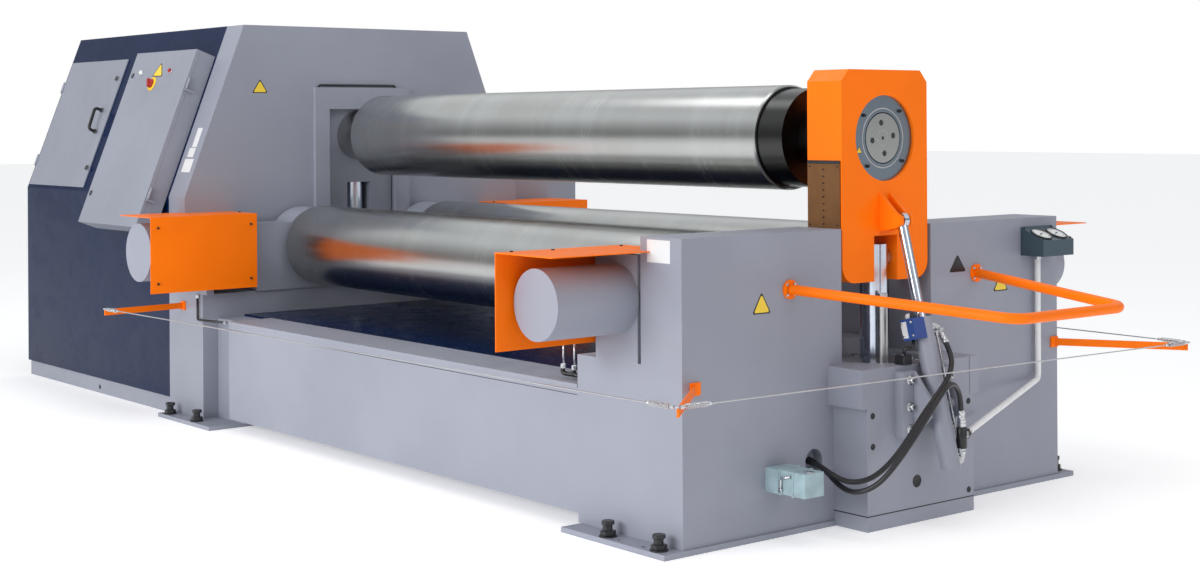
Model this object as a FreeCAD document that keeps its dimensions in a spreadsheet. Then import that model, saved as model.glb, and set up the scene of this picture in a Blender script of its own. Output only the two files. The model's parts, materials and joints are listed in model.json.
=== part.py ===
"""Three-roll plate rolling machine: the rolls lie along X, the drop end is at +X, the floor is Z = 0."""
import FreeCAD, Part
import math
import os
import re

import Sketcher

# Driving sizes in millimetres. Heights are measured from the floor, distances from the middle of the rolls.
SIZES = {
    # Top roll
    "roll_half": 1560,
    "roll_chamfer": 10,
    "top_roll_radius": 215,
    "top_roll_height": 1451,
    "drive_neck_radius": 136,
    "sleeve_radius": 200,
    "sleeve_length": 140,
    "drop_neck_radius": 110,
    "journal_radius": 96,
    "journal_inset": 96,
    "journal_recess": 12,
    # Side rolls and their carriages
    "side_roll_radius": 207,
    "side_roll_height": 876,
    "side_roll_spread": 400,
    "side_neck_radius": 110,
    "neck_end_margin": 40,
    "block_gap": 30,
    "drive_block_thick": 175,
    "drop_block_thick": 240,
    "block_boss_radius": 196,
    "block_near_side": 210,
    "block_far_side": 360,
    "block_shoulder": 124,
    "running_fit": 0.05,
    "slide_clearance": 0.3,
    # Push cylinders
    "push_rod_radius": 60,
    "push_rod_insert": 190,
    "push_rod_out": 137,
    "drive_barrel_radius": 146,
    "drop_barrel_radius": 129,
    "drive_barrel_length": 312,
    "drop_barrel_length": 367,
    "flange_thick": 40,
    "flange_top": 1040,
    "flange_half": 120,
    # Base frames
    "foot_thick": 20,
    "frame_half_depth": 1060,
    "drive_box_top": 650,
    "drive_box_setback": 40,
    "drive_step_length": 283,
    "drive_step_margin": 84,
    "drive_step_top": 525,
    "drive_plate_gap": 35,
    "drive_plate_thick": 185,
    "shoulder_height": 1138,
    "slope_run": 345,
    "housing_height": 2043,
    "window_half": 220,
    "window_top": 1689,
    "guide_half": 212,
    "guide_width": 88,
    "guide_thick": 25,
    "neck_cover": 9,
    "ram_window_half": 74,
    "ram_window_top": 1192,
    "drop_box_lead": 80,
    "drop_box_top": 650,
    "post_gap": 18,
    "post_thick": 222,
    "post_top": 1110,
    "slot_half": 255,
    "cable_hole_radius": 45,
    "cable_hole_side": 408,
    "cable_hole_height": 254,
    # Bed between the frames
    "beam_bottom": 55,
    "beam_top": 538,
    "beam_depth": 235,
    "beam_lip": 15,
    "deck_thick": 10,
    # Pedestal with the lift ram
    "pedestal_reach": 170,
    "pedestal_half": 302,
    "pedestal_top": 600,
    "pedestal_foot": 50,
    "lug_height": 145,
    "lug_proud": 28,
    "lug_face": 2,
    "lug_width": 50,
    "gland_pocket_radius": 192,
    "gland_pocket_depth": 38,
    "gland_radius": 186,
    "gland_thick": 22,
    "ram_radius": 54.4,
    "ram_top": 1040,
    # Yoke of the drop end
    "pivot_inset": 116,
    "pivot_height": 985,
    "pivot_radius": 35,
    "pivot_half": 236,
    "yoke_setback": 36,
    "yoke_thick": 180,
    "yoke_half": 243,
    "yoke_bottom": 900,
    "yoke_top": 1715,
    "yoke_corner_side": 40,
    "yoke_corner_drop": 45,
    "yoke_round": 70,
    "notch_half": 66,
    "notch_top": 1075,
    "yoke_bore": 166,
    "ring_radius": 165.7,
    "ring_bore": 100,
    "ring_thick": 60,
    "wear_thick": 6,
    "wear_bottom": 1110,
    "wear_top": 1368,
    "wear_margin": 6,
    # Tilt cylinder
    "trunnion_reach": 82,
    "trunnion_height": 451,
    "clevis_reach": 81,
    "clevis_height": 1137,
    "tilt_barrel_radius": 37,
    "tilt_barrel_above": 331,
    "tilt_barrel_below": 239,
    "tilt_rod_radius": 20,
    "tilt_rod_insert": 60,
    "tilt_stroke": 225,
    "eye_radius": 30,
    "eye_half": 13,
    "ear_gap": 7,
    "ear_thick": 16,
    "bracket_ear_half": 76,
    "bracket_ear_thick": 15,
    "bracket_half": 150,
    "bracket_bottom": 335,
    "bracket_top": 580,
    "bracket_base": 40,
    "trunnion_radius": 18,
    # Hydraulic fittings and hoses on the tilt cylinder
    "hose_radius": 10,
    "fitting_radius": 13,
    "elbow_side": 80,
    "elbow_height": 734,
    "fitting_bend": 16,
    "lower_port_height": 245,
    "valve_ahead": 310,
    "valve_side": 62,
    "valve_low": 290,
    "valve_high": 366,
    "valve_radius": 19,
    "valve_collar": 386,
    "block_start": 251,
    "block_half": 31,
    "block_side": 85,
    "block_overlap": 20,
    "pipe_radius": 12,
    "pipe_bend": 30,
    "pipe_wall_gap": 10,
    "pipe_side": 902,
    "pipe_turn_height": 440,
    "pipe_end_height": 330,
    "tee_length": 60,
    "tee_radius": 16,
    "guide_pin_radius": 20,
    "guide_pin_side": 50,
    "guide_pin_ahead": 90,
    "guide_pin_top": 856,
    "rear_box_depth": 520,
    "rear_box_thick": 95,
    "rear_box_bottom": 700,
    "rear_box_top": 1250,
    # Guards over the side cylinders
    "guard_sheet": 4,
    "guard_top": 1054,
    "drive_guard_lead": 40,
    "drive_guard_inside": 266,
    "drive_guard_outside": 319,
    "drive_guard_bottom": 679,
    "drive_guard_hold": 77,
    "drop_guard_gap": 7,
    "drop_guard_inside": 145,
    "drop_guard_outside": 440,
    "drop_guard_bottom": 703,
    "drop_guard_hold": 55,
    # Drive housing and its cabinets
    "housing_length": 1955,
    "skirt_height": 87,
    "skirt_inset": 12,
    "cabinet_setback": 23,
    "cabinet_width": 740,
    "cabinet_length": 1000,
    "cabinet_proud": 112,
    "cabinet_drop": 208,
    "cabinet_wall": 3,
    "cabinet_door_thick": 22,
    "door_gap": 1,
    "access_width": 807,
    "access_margin": 25,
    "access_low": 20,
    "access_length": 791,
    "access_thick": 6,
    "access_recess_margin": 45,
    "access_recess_depth": 120,
    "hinge_radius": 8,
    "hinge_length": 60,
    "hinge_arm": 10,
    "hinge_play": 2,
    "hinge_leaf": 4,
    "cabinet_hinge_low": 160,
    "cabinet_hinge_high": 220,
    "access_hinge_low": 130,
    "access_hinge_high": 190,
    # Fittings on the drop end
    "gauge_width": 201,
    "gauge_margin": 40,
    "gauge_depth": 116,
    "gauge_bottom": 955,
    "gauge_front_top": 1021,
    "gauge_back_top": 1073,
    "dial_radius": 50,
    "connector_near": 555,
    "connector_far": 651,
    "connector_bottom": 175,
    "connector_top": 262,
    "connector_reach": 192,
    "rail_radius": 19,
    "rail_mount_half": 530,
    "rail_mount_height": 900,
    "rail_reach": 860,
    "rail_corner_half": 305,
    "rail_corner_height": 843,
    "rail_bend": 80,
    "rail_flange_radius": 36,
    "rail_flange_thick": 8,
    "wire_radius": 2.5,
    "arm_width": 30,
    "arm_thick": 8,
    "arm_height": 580,
    "drive_arm_inset": 15,
    "drive_arm_lean": 53,
    "drive_arm_out": 454,
    "arm_front_ahead": 346,
    "arm_front_inset": 58,
    "arm_front_out": 329,
    "arm_rear_ahead": 469,
    "arm_rear_inset": 26,
    "arm_rear_out": 245,
    # Feet
    "foot_margin": 95,
    "drop_foot_setback": 16,
    "drop_foot_margin": 10,
    "drive_foot_setback": 34,
    "drive_foot_margin": 56,
    "jack_radius": 18,
    "jack_height": 75,
    "drive_far_jack": 126,
    "drive_near_jack": 44,
    "drop_far_jack": 61,
    "drop_near_jack": 121,
    "anchor_radius": 13,
    "anchor_ahead": 240,
    "anchor_out": 60,
    "drive_inner_anchor": 60,
    "drop_outer_anchor": 376,
}

# Places worked out from the sizes above: sums and differences of named sizes and of other places.
PLACES = {
    "sleeve_end": "roll_half + sleeve_length",
    "journal_start": "yoke_inner + journal_inset",
    "journal_end": "yoke_outer - journal_recess",
    "flange_inner": "frame_half_depth - flange_thick",
    "drive_barrel_end": "frame_half_depth + drive_barrel_length",
    "drop_barrel_end": "frame_half_depth + drop_barrel_length",
    "drive_box_inner": "roll_half + drive_box_setback",
    "drive_step_inner": "drive_box_inner - drive_step_length",
    "drive_step_half": "frame_half_depth - drive_step_margin",
    "drive_plate_inner": "roll_half + block_gap + drive_block_thick + drive_plate_gap",
    "drive_plate_outer": "drive_plate_inner + drive_plate_thick",
    "top_half_depth": "frame_half_depth - slope_run",
    "guide_cap": "top_roll_height + drive_neck_radius + neck_cover",
    "drop_box_inner": "roll_half - drop_box_lead",
    "post_inner": "roll_half + block_gap + drop_block_thick + post_gap",
    "post_outer": "post_inner + post_thick",
    "pedestal_outer": "post_outer + pedestal_reach",
    "yoke_inner": "post_inner + yoke_setback",
    "yoke_outer": "yoke_inner + yoke_thick",
    "pivot_x": "yoke_inner + pivot_inset",
    "clevis_x": "yoke_outer + clevis_reach",
    "trunnion_x": "pedestal_outer + trunnion_reach",
    "drive_guard_face": "roll_half - drive_guard_lead",
    "drive_guard_inner": "frame_half_depth - drive_guard_inside",
    "drive_guard_outer": "frame_half_depth + drive_guard_outside",
    "drive_guard_reach": "drive_plate_inner + drive_guard_hold",
    "drop_guard_face": "roll_half + drop_guard_gap",
    "drop_guard_inner": "frame_half_depth - drop_guard_inside",
    "drop_guard_outer": "frame_half_depth + drop_guard_outside",
    "drop_guard_reach": "post_inner + drop_guard_hold",
    "housing_end": "drive_plate_outer + housing_length",
    "cabinet_near": "drive_plate_outer + cabinet_setback",
    "access_far": "housing_end - access_margin",
    "access_near": "access_far - access_width",
    "gauge_far": "frame_half_depth - gauge_margin",
    "gauge_near": "gauge_far - gauge_width",
    "rail_corner_x": "post_outer + rail_reach",
    "drive_arm_x": "drive_plate_inner + drive_arm_inset",
    "drive_arm_reach": "frame_half_depth + drive_arm_out",
    "arm_front_x": "post_outer + arm_front_ahead",
    "arm_front_y": "frame_half_depth - arm_front_inset",
    "arm_front_reach": "frame_half_depth + arm_front_out",
    "arm_rear_x": "post_outer + arm_rear_ahead",
    "arm_rear_y": "frame_half_depth - arm_rear_inset",
    "arm_rear_reach": "frame_half_depth + arm_rear_out",
    "foot_reach": "frame_half_depth + foot_margin",
    "drop_foot_inner": "drop_box_inner + drop_foot_setback",
    "drop_foot_outer": "post_outer + drop_foot_margin",
    "drive_foot_inner": "drive_step_inner + drive_foot_setback",
    "drive_foot_outer": "drive_plate_outer - drive_foot_margin",
    "drive_first_jack": "drive_plate_outer - drive_far_jack",
    "drive_second_jack": "drive_box_inner - drive_near_jack",
    "drop_first_jack": "post_outer - drop_far_jack",
    "drop_second_jack": "post_inner - drop_near_jack",
    "anchor_half_x": "roll_half + anchor_ahead",
    "anchor_half_y": "frame_half_depth + anchor_out",
    "drive_second_anchor": "roll_half + drive_inner_anchor",
    "drop_second_anchor": "roll_half + drop_outer_anchor",
    "valve_x": "post_outer + valve_ahead",
}

doc = FreeCAD.newDocument("plate_rolling_machine")
sheet = doc.addObject("Spreadsheet::Sheet", "Sizes")
for row, (alias, number) in enumerate(SIZES.items(), 1):
    cell = "A%d" % row
    sheet.set(cell, str(number))
    sheet.setAlias(cell, alias)
doc.recompute()

NODES = []
AXES = {"x": FreeCAD.Rotation(FreeCAD.Vector(0, 1, 0), 90),
        "y": FreeCAD.Rotation(FreeCAD.Vector(1, 0, 0), -90),
        "z": FreeCAD.Rotation()}


def mm(name):
    """The value of a size, read from the sheet, or of a place worked out from sizes."""
    if name in PLACES:
        terms = re.findall(r"([+-]?) ?([a-z_]+)", PLACES[name])
        return sum(-mm(term) if sign == "-" else mm(term) for sign, term in terms)
    return float(getattr(sheet, name))


def formula(text):
    """A formula in which the names of sizes and places stand for cells and sums of cells."""
    def cell(found):
        name = found[0]
        if name in PLACES:
            return "(%s)" % formula(PLACES[name])
        return "Sizes." + name if name in SIZES else name
    return re.sub(r"[a-z][a-z_0-9]*", cell, str(text))


def bind(thing, target, text):
    """Ties a property to a formula of sizes and places."""
    thing.setExpression(target, formula(text))


def place(thing, corner):
    for axis, text in zip("xyz", corner):
        bind(thing, "Placement.Base." + axis, text)
    return thing


def side(sign, near, far):
    """The span from near to far on the positive side of a middle plane, or its mirror image."""
    return (near, far) if sign > 0 else ("-(%s)" % far, "-(%s)" % near)


def signed(sign, text):
    return str(text) if sign > 0 else "-(%s)" % text


def box(name, x, y, z):
    """A block between two planes on each axis."""
    block = doc.addObject("Part::Box", name)
    for length, (low, high) in zip(("Length", "Width", "Height"), (x, y, z)):
        bind(block, length, "(%s) - (%s)" % (high, low))
    return place(block, (x[0], y[0], z[0]))


def bar(name, radius, axis, low, high, centre):
    """A round bar along an axis from low to high; centre holds its two other coordinates in order."""
    cylinder = doc.addObject("Part::Cylinder", name)
    bind(cylinder, "Radius", radius)
    bind(cylinder, "Height", "(%s) - (%s)" % (high, low))
    cylinder.Placement = FreeCAD.Placement(FreeCAD.Vector(), AXES[axis])
    corner = list(centre)
    corner.insert("xyz".index(axis), low)
    return place(cylinder, corner)


def cut(name, base, *tools):
    tool = tools[0] if len(tools) == 1 else fuse(name + "_tools", *tools)
    piece = doc.addObject("Part::Cut", name)
    piece.Base, piece.Tool = base, tool
    return piece


def fuse(name, *solids):
    piece = doc.addObject("Part::MultiFuse", name)
    piece.Shapes = list(solids)
    piece.Refine = True
    return piece


def group(name, *solids):
    """Separate solids that share one node."""
    piece = doc.addObject("Part::Compound", name)
    piece.Links = list(solids)
    return piece


def node(name, piece):
    """Names a finished sub-part; its file takes this name."""
    piece.Label = name
    NODES.append(piece)
    return piece


def body_at(name, corner=("0", "0", "0")):
    return place(doc.addObject("PartDesign::Body", name), corner)


def outline(body, plane, corners, name):
    """A closed sketch of straight edges with each corner held at its two formulas."""
    sketch = body.newObject("Sketcher::SketchObject", name)
    base = next(item for item in body.Origin.OriginFeatures if item.Role == plane)
    sketch.AttachmentSupport = (base, [""])
    sketch.MapMode = "FlatFace"
    count = len(corners)
    start = [FreeCAD.Vector(math.cos(math.tau * i / count),
                            math.sin(math.tau * i / count)) for i in range(count)]
    for i in range(count):
        sketch.addGeometry(Part.LineSegment(start[i], start[(i + 1) % count]), False)
    for i in range(count):
        sketch.addConstraint(Sketcher.Constraint("Coincident", i, 2, (i + 1) % count, 1))
    for i, corner in enumerate(corners):
        for direction, text in zip(("DistanceX", "DistanceY"), corner):
            index = sketch.addConstraint(Sketcher.Constraint(direction, -1, 1, i, 1, 1.0))
            bind(sketch, "Constraints[%d]" % index, text)
    return sketch


def hole_sketch(body, plane, centre, radius, name):
    sketch = body.newObject("Sketcher::SketchObject", name)
    base = next(item for item in body.Origin.OriginFeatures if item.Role == plane)
    sketch.AttachmentSupport = (base, [""])
    sketch.MapMode = "FlatFace"
    sketch.addGeometry(Part.Circle(FreeCAD.Vector(), FreeCAD.Vector(0, 0, 1), 1.0), False)
    for direction, text in zip(("DistanceX", "DistanceY"), centre):
        index = sketch.addConstraint(Sketcher.Constraint(direction, -1, 1, 0, 3, 1.0))
        bind(sketch, "Constraints[%d]" % index, text)
    index = sketch.addConstraint(Sketcher.Constraint("Radius", 0, 1.0))
    bind(sketch, "Constraints[%d]" % index, radius)
    return sketch


def pad(body, sketch, length, name):
    feature = body.newObject("PartDesign::Pad", name)
    feature.Profile = sketch
    bind(feature, "Length", length)
    return feature


def pocket(body, sketch, name):
    """Cuts right through the body, both ways from the sketch."""
    feature = body.newObject("PartDesign::Pocket", name)
    feature.Profile = sketch
    feature.Type = "ThroughAll"
    feature.Midplane = True
    return feature


def prism(name, plane, corners, length, corner=("0", "0", "0")):
    """A plate or block of constant section, padded along the plane's normal."""
    body = body_at(name, corner)
    pad(body, outline(body, plane, corners, name + "_outline"), length, name + "_pad")
    return body


def turned(name, profile, corner):
    """A turned piece about an axis along X; profile holds pairs of place along the axis and radius."""
    body = body_at(name, corner)
    sketch = outline(body, "XZ_Plane", profile, name + "_profile")
    turn = body.newObject("PartDesign::Revolution", name + "_turn")
    turn.Profile = sketch
    turn.ReferenceAxis = (sketch, ["H_Axis"])
    turn.Angle = 360
    return body


def rectangle(x, y):
    return [(x[0], y[0]), (x[1], y[0]), (x[1], y[1]), (x[0], y[1])]


BOX_TOP = {-1: "drive_box_top", 1: "drop_box_top"}
BLOCK = {-1: "drive_block_thick", 1: "drop_block_thick"}
ENDS = {-1: "drive", 1: "drop"}
SIDES = {-1: "front", 1: "rear"}
CARRIAGE_X = {end: "(roll_half + block_gap + %s / 2)" % BLOCK[end] for end in ENDS}


def top_roll():
    """Body, drive neck into the bearing block, and at the drop end a sleeve, a neck and the journal."""
    end = "(drive_plate_outer - neck_end_margin)"
    profile = [("-" + end, "0"), ("-" + end, "drive_neck_radius"), ("-roll_half", "drive_neck_radius"),
               ("-roll_half", "top_roll_radius - roll_chamfer"), ("roll_chamfer - roll_half",
                                                                  "top_roll_radius"),
               ("roll_half - roll_chamfer", "top_roll_radius"), ("roll_half",
                                                                 "top_roll_radius - roll_chamfer"),
               ("roll_half", "sleeve_radius"), ("sleeve_end", "sleeve_radius"),
               ("sleeve_end", "drop_neck_radius"), ("journal_start", "drop_neck_radius"),
               ("journal_start", "journal_radius"), ("journal_end", "journal_radius"), ("journal_end", "0")]
    node("top_roll", turned("TopRoll", profile, ("0", "0", "top_roll_height")))


def side_roll(sign):
    reach = {end: "(roll_half + block_gap + %s - neck_end_margin)" % BLOCK[end] for end in ENDS}
    profile = [("-" + reach[-1], "0"), ("-" + reach[-1], "side_neck_radius"), ("-roll_half",
                                                                               "side_neck_radius"),
               ("-roll_half", "side_roll_radius - roll_chamfer"), ("roll_chamfer - roll_half",
                                                                   "side_roll_radius"),
               ("roll_half - roll_chamfer", "side_roll_radius"), ("roll_half",
                                                                  "side_roll_radius - roll_chamfer"),
               ("roll_half", "side_neck_radius"), (reach[1], "side_neck_radius"), (reach[1], "0")]
    name = SIDES[sign] + "_roll"
    node(name, turned(name + "_body", profile, ("0", signed(sign, "side_roll_spread"), "side_roll_height")))


def carriage_block(end, sign):
    """A bearing block that slides on the frame's box, with a round boss about the roll's neck."""
    name = "%s_%s_block" % (SIDES[sign], ENDS[end])
    x = side(end, "roll_half + block_gap", "(roll_half + block_gap + %s)" % BLOCK[end])
    y = side(sign, "side_roll_spread - block_near_side", "(side_roll_spread + block_far_side)")
    z = (BOX_TOP[end] + " + slide_clearance", "side_roll_height + block_shoulder")
    centre = (signed(sign, "side_roll_spread"), "side_roll_height")
    base = box(name + "_base", x, y, z)
    boss = bar(name + "_boss", "block_boss_radius", "x", *x, centre)
    bore = bar(name + "_bore", "side_neck_radius + running_fit", "x", *x, centre)
    node(name, cut(name + "_cut", fuse(name + "_solid", base, boss), bore))


def push_rods(sign):
    """The two cylinder rods that move a side roll, one at each end."""
    y = side(sign, "side_roll_spread + block_far_side", "(flange_inner + push_rod_insert)")
    name = SIDES[sign] + "_push_rods"
    rods = [bar("%s_%s" % (name, ENDS[end]), "push_rod_radius", "y", *y,
                (signed(end, CARRIAGE_X[end]), "side_roll_height")) for end in ENDS]
    node(name, group(name + "_pair", *rods))


def push_cylinder(end, sign):
    name = "%s_%s_cylinder" % (SIDES[sign], ENDS[end])
    centre_x = signed(end, CARRIAGE_X[end])
    centre = (centre_x, "side_roll_height")
    tube = bar(name + "_tube", ENDS[end] + "_barrel_radius", "y",
               *side(sign, "(flange_inner + flange_thick)", ENDS[end] + "_barrel_end"), centre)
    flange = box(name + "_flange", (centre_x + " - flange_half", "(%s + flange_half)" % centre_x),
                 side(sign, "flange_inner", "(flange_inner + flange_thick)"), (BOX_TOP[end], "flange_top"))
    bore = bar(name + "_bore", "push_rod_radius + running_fit", "y",
               *side(sign, "flange_inner", "(flange_inner + push_rod_insert + push_rod_out)"), centre)
    node(name, cut(name + "_cut", fuse(name + "_solid", tube, flange), bore))


def frame_outline(low):
    """The tall outline shared by the drive plate and the housing: upright, then slanting in."""
    return [("-frame_half_depth", low), ("frame_half_depth", low), ("frame_half_depth", "shoulder_height"),
            ("top_half_depth", "housing_height"), ("-top_half_depth", "housing_height"),
            ("-frame_half_depth", "shoulder_height")]


def drive_frame():
    plate = prism("DrivePlate", "YZ_Plane", frame_outline("foot_thick"),
                  "drive_plate_outer - drive_plate_inner",
                  ("-drive_plate_outer", "0", "0"))
    window = rectangle(("-window_half", "window_half"), ("drive_box_top", "window_top"))
    pocket(plate, outline(plate, "YZ_Plane", window, "DriveWindow"), "DriveWindowPocket")
    node("drive_plate", plate)
    high = box("DriveBoxHigh", ("-drive_plate_inner", "-drive_box_inner"),
               ("-frame_half_depth", "frame_half_depth"), ("foot_thick", "drive_box_top"))
    low = box("DriveBoxLow", ("-drive_box_inner", "-drive_step_inner"), ("-drive_step_half",
                                                                         "drive_step_half"),
              ("foot_thick", "drive_step_top"))
    node("drive_low_box", fuse("DriveBox", high, low))


def drive_bearing():
    """The bearing block of the top roll in the drive window, its guide bars and the ram under it."""
    axis = ("0", "top_roll_height")
    x = ("-drive_plate_outer", "-(drive_plate_inner + guide_thick)")
    block = box("TopBlockSolid", x, ("-guide_half", "guide_half"), ("drive_box_top + slide_clearance",
                                                                    "guide_cap"))
    slot = box("TopBlockSlot", x, ("-ram_window_half", "ram_window_half"),
               ("drive_box_top", "ram_window_top"))
    bore = bar("TopBlockBore", "drive_neck_radius + running_fit", "x", *x, axis)
    node("drive_top_block", cut("TopBlock", block, slot, bore))
    face = ("-drive_plate_inner", "guide_thick - drive_plate_inner")
    bars = [box("GuideBar" + SIDES[sign], face, side(sign, "guide_half", "(guide_half + guide_width)"),
                ("drive_box_top", "guide_cap")) for sign in SIDES]
    cap = box("GuideCap", face, ("-guide_half - guide_width", "guide_half + guide_width"),
              ("guide_cap", "window_top + guide_thick"))
    node("drive_guide_bars", fuse("GuideBars", cap, *bars))
    middle = "-(drive_plate_outer + drive_plate_inner) / 2"
    node("drive_lift_ram", bar("DriveRam", "ram_radius", "z", "drive_box_top", "ram_window_top", (middle,
                                                                                                  "0")))


def drop_frame():
    solid = box("DropBox", ("drop_box_inner", "post_inner"), ("-frame_half_depth", "frame_half_depth"),
                ("foot_thick", "drop_box_top"))
    recess = bar("DropBoxRecess", "gland_pocket_radius", "z", "pedestal_top - gland_pocket_depth",
                 "drop_box_top",
                 ("pivot_x", "0"))
    node("drop_low_box", cut("DropBoxCut", solid, recess))
    for sign in SIDES:
        post = box("PostSolid" + SIDES[sign], ("post_inner", "post_outer"),
                   side(sign, "slot_half", "frame_half_depth"), ("foot_thick", "post_top"))
        if sign < 0:
            hole = bar("CableHole", "cable_hole_radius", "x", "post_outer - cable_hole_radius", "post_outer",
                       ("-cable_hole_side", "cable_hole_height"))
            post = cut("PostFrontCut", post, hole)
        node("drop_%s_post" % SIDES[sign], post)


def pedestal():
    """The stand in the drop end's slot that holds the lift cylinder, with a bolted gland about the ram."""
    steps = [("post_inner", "-slot_half"), ("post_outer", "-slot_half"), ("post_outer", "-pedestal_half"),
             ("pedestal_outer", "-pedestal_half"), ("pedestal_outer", "pedestal_half"),
             ("post_outer", "pedestal_half"), ("post_outer", "slot_half"), ("post_inner", "slot_half")]
    body = prism("PedestalBody", "XY_Plane", steps, "pedestal_top - foot_thick", ("0", "0", "foot_thick"))
    pocket_sketch = hole_sketch(body, "XY_Plane", ("pivot_x", "0"), "gland_pocket_radius",
                                "GlandPocketSketch")
    bind(pocket_sketch, "AttachmentOffset.Base.z", "pedestal_top - foot_thick")
    recess = body.newObject("PartDesign::Pocket", "GlandPocket")
    recess.Profile = pocket_sketch
    bind(recess, "Length", "gland_pocket_depth")
    lugs = [box("Lug" + SIDES[sign], ("post_outer", "pedestal_outer + lug_face"),
                side(sign, "pedestal_half - lug_width + lug_proud", "(pedestal_half + lug_proud)"),
                ("pedestal_top - lug_height", "pedestal_top")) for sign in SIDES]
    node("pedestal", fuse("Pedestal", body, *lugs))
    floor = "pedestal_top - gland_pocket_depth"
    ring = bar("GlandRing", "gland_radius", "z", floor, floor + " + gland_thick", ("pivot_x", "0"))
    bore = bar("GlandBore", "ram_radius + running_fit", "z", floor, floor + " + gland_thick", ("pivot_x",
                                                                                               "0"))
    pin = bar("GuidePin", "guide_pin_radius", "z", floor, "guide_pin_top",
              ("pivot_x + guide_pin_ahead", "-guide_pin_side"))
    node("lift_gland", cut("LiftGland", fuse("LiftGlandSolid", ring, pin), bore))
    ram = bar("RamBar", "ram_radius", "z", floor, "ram_top", ("pivot_x", "0"))
    eye = bar("RamEye", "pivot_radius + running_fit", "y", "-ram_radius", "ram_radius", ("pivot_x",
                                                                                         "pivot_height"))
    node("drop_lift_ram", cut("DropRam", ram, eye))


def yoke():
    """The swinging bearing housing of the top roll: chamfered head, round bore, forked foot on the ram."""
    outer = [("-yoke_half", "yoke_bottom"), ("-notch_half", "yoke_bottom"), ("-notch_half", "notch_top"),
             ("notch_half", "notch_top"), ("notch_half", "yoke_bottom"), ("yoke_half", "yoke_bottom"),
             ("yoke_half", "yoke_top - yoke_corner_drop"), ("yoke_half - yoke_corner_side", "yoke_top"),
             ("yoke_corner_side - yoke_half", "yoke_top"), ("-yoke_half", "yoke_top - yoke_corner_drop")]
    body = prism("YokeBody", "YZ_Plane", outer, "yoke_outer - yoke_inner", ("yoke_inner", "0", "0"))
    bore = hole_sketch(body, "YZ_Plane", ("0", "top_roll_height"), "yoke_bore", "YokeBore")
    pocket(body, bore, "YokeBorePocket")
    pin = hole_sketch(body, "XZ_Plane", ("pivot_x - yoke_inner", "pivot_height"),
                      "pivot_radius + running_fit",
                      "YokePivot")
    last = pocket(body, pin, "YokePivotPocket")
    doc.recompute()
    low, half = mm("yoke_bottom"), mm("yoke_half")
    corners = ["Edge%d" % (i + 1) for i, edge in enumerate(last.Shape.Edges)
               if abs(edge.BoundBox.ZMax - low) < 0.01 and abs(abs(edge.CenterOfMass.y) - half) < 0.01
               and edge.BoundBox.XLength > 1]
    rounding = body.newObject("PartDesign::Fillet", "YokeRound")
    rounding.Base = (last, corners)
    bind(rounding, "Radius", "yoke_round")
    node("drop_yoke", body)
    ring_face = "journal_end"
    x = (ring_face + " - ring_thick", ring_face)
    ring = cut("BearingRing", bar("RingSolid", "ring_radius", "x", *x, ("0", "top_roll_height")),
               bar("RingBore", "ring_bore", "x", *x, ("0", "top_roll_height")))
    node("yoke_bearing_ring", ring)
    wear = [box("Wear" + SIDES[sign], ("yoke_inner + wear_margin", "yoke_outer - wear_margin"),
                side(sign, "yoke_half", "(yoke_half + wear_thick)"), ("wear_bottom",
                                                                      "wear_top")) for sign in SIDES]
    node("yoke_wear_plates", group("WearPlates", *wear))
    node("yoke_pivot_pin", bar("PivotPin", "pivot_radius", "y", "-pivot_half", "pivot_half",
                               ("pivot_x", "pivot_height")))
    ears = [prism("ClevisEar" + SIDES[sign], "XZ_Plane",
                  [("yoke_outer", "clevis_height - 1.5 * eye_radius"), ("clevis_x",
                                                                        "clevis_height - eye_radius"),
                   ("clevis_x + eye_radius", "clevis_height - eye_radius / 2"),
                   ("clevis_x + eye_radius", "clevis_height + eye_radius / 2"),
                   ("clevis_x", "clevis_height + eye_radius"),
                   ("yoke_outer", "clevis_height + 3.5 * eye_radius")],
                  "ear_thick",
                  ("0", "eye_half + ear_gap + ear_thick" if sign > 0 else "-(eye_half + ear_gap)", "0"))
            for sign in SIDES]
    node("yoke_clevis", group("YokeClevis", *ears))


LEAN = "atan2(trunnion_x - clevis_x; clevis_height - trunnion_height)"
ROD_LENGTH = "sqrt(pow(trunnion_x - clevis_x; 2) + pow(clevis_height - trunnion_height; 2))"


def leaning(name, radius, low, high):
    """A round bar on the tilt cylinder's axis, between two distances from the trunnion."""
    cylinder = doc.addObject("Part::Cylinder", name)
    bind(cylinder, "Radius", radius)
    bind(cylinder, "Height", "(%s) - (%s)" % (high, low))
    cylinder.Placement = FreeCAD.Placement(FreeCAD.Vector(), FreeCAD.Rotation(FreeCAD.Vector(0, -1, 0), 1))
    bind(cylinder, "Placement.Rotation.Angle", LEAN)
    return place(cylinder, ("trunnion_x - (%s) * sin(%s)" % (low, LEAN), "0",
                            "trunnion_height + (%s) * cos(%s)" % (low, LEAN)))


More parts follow.
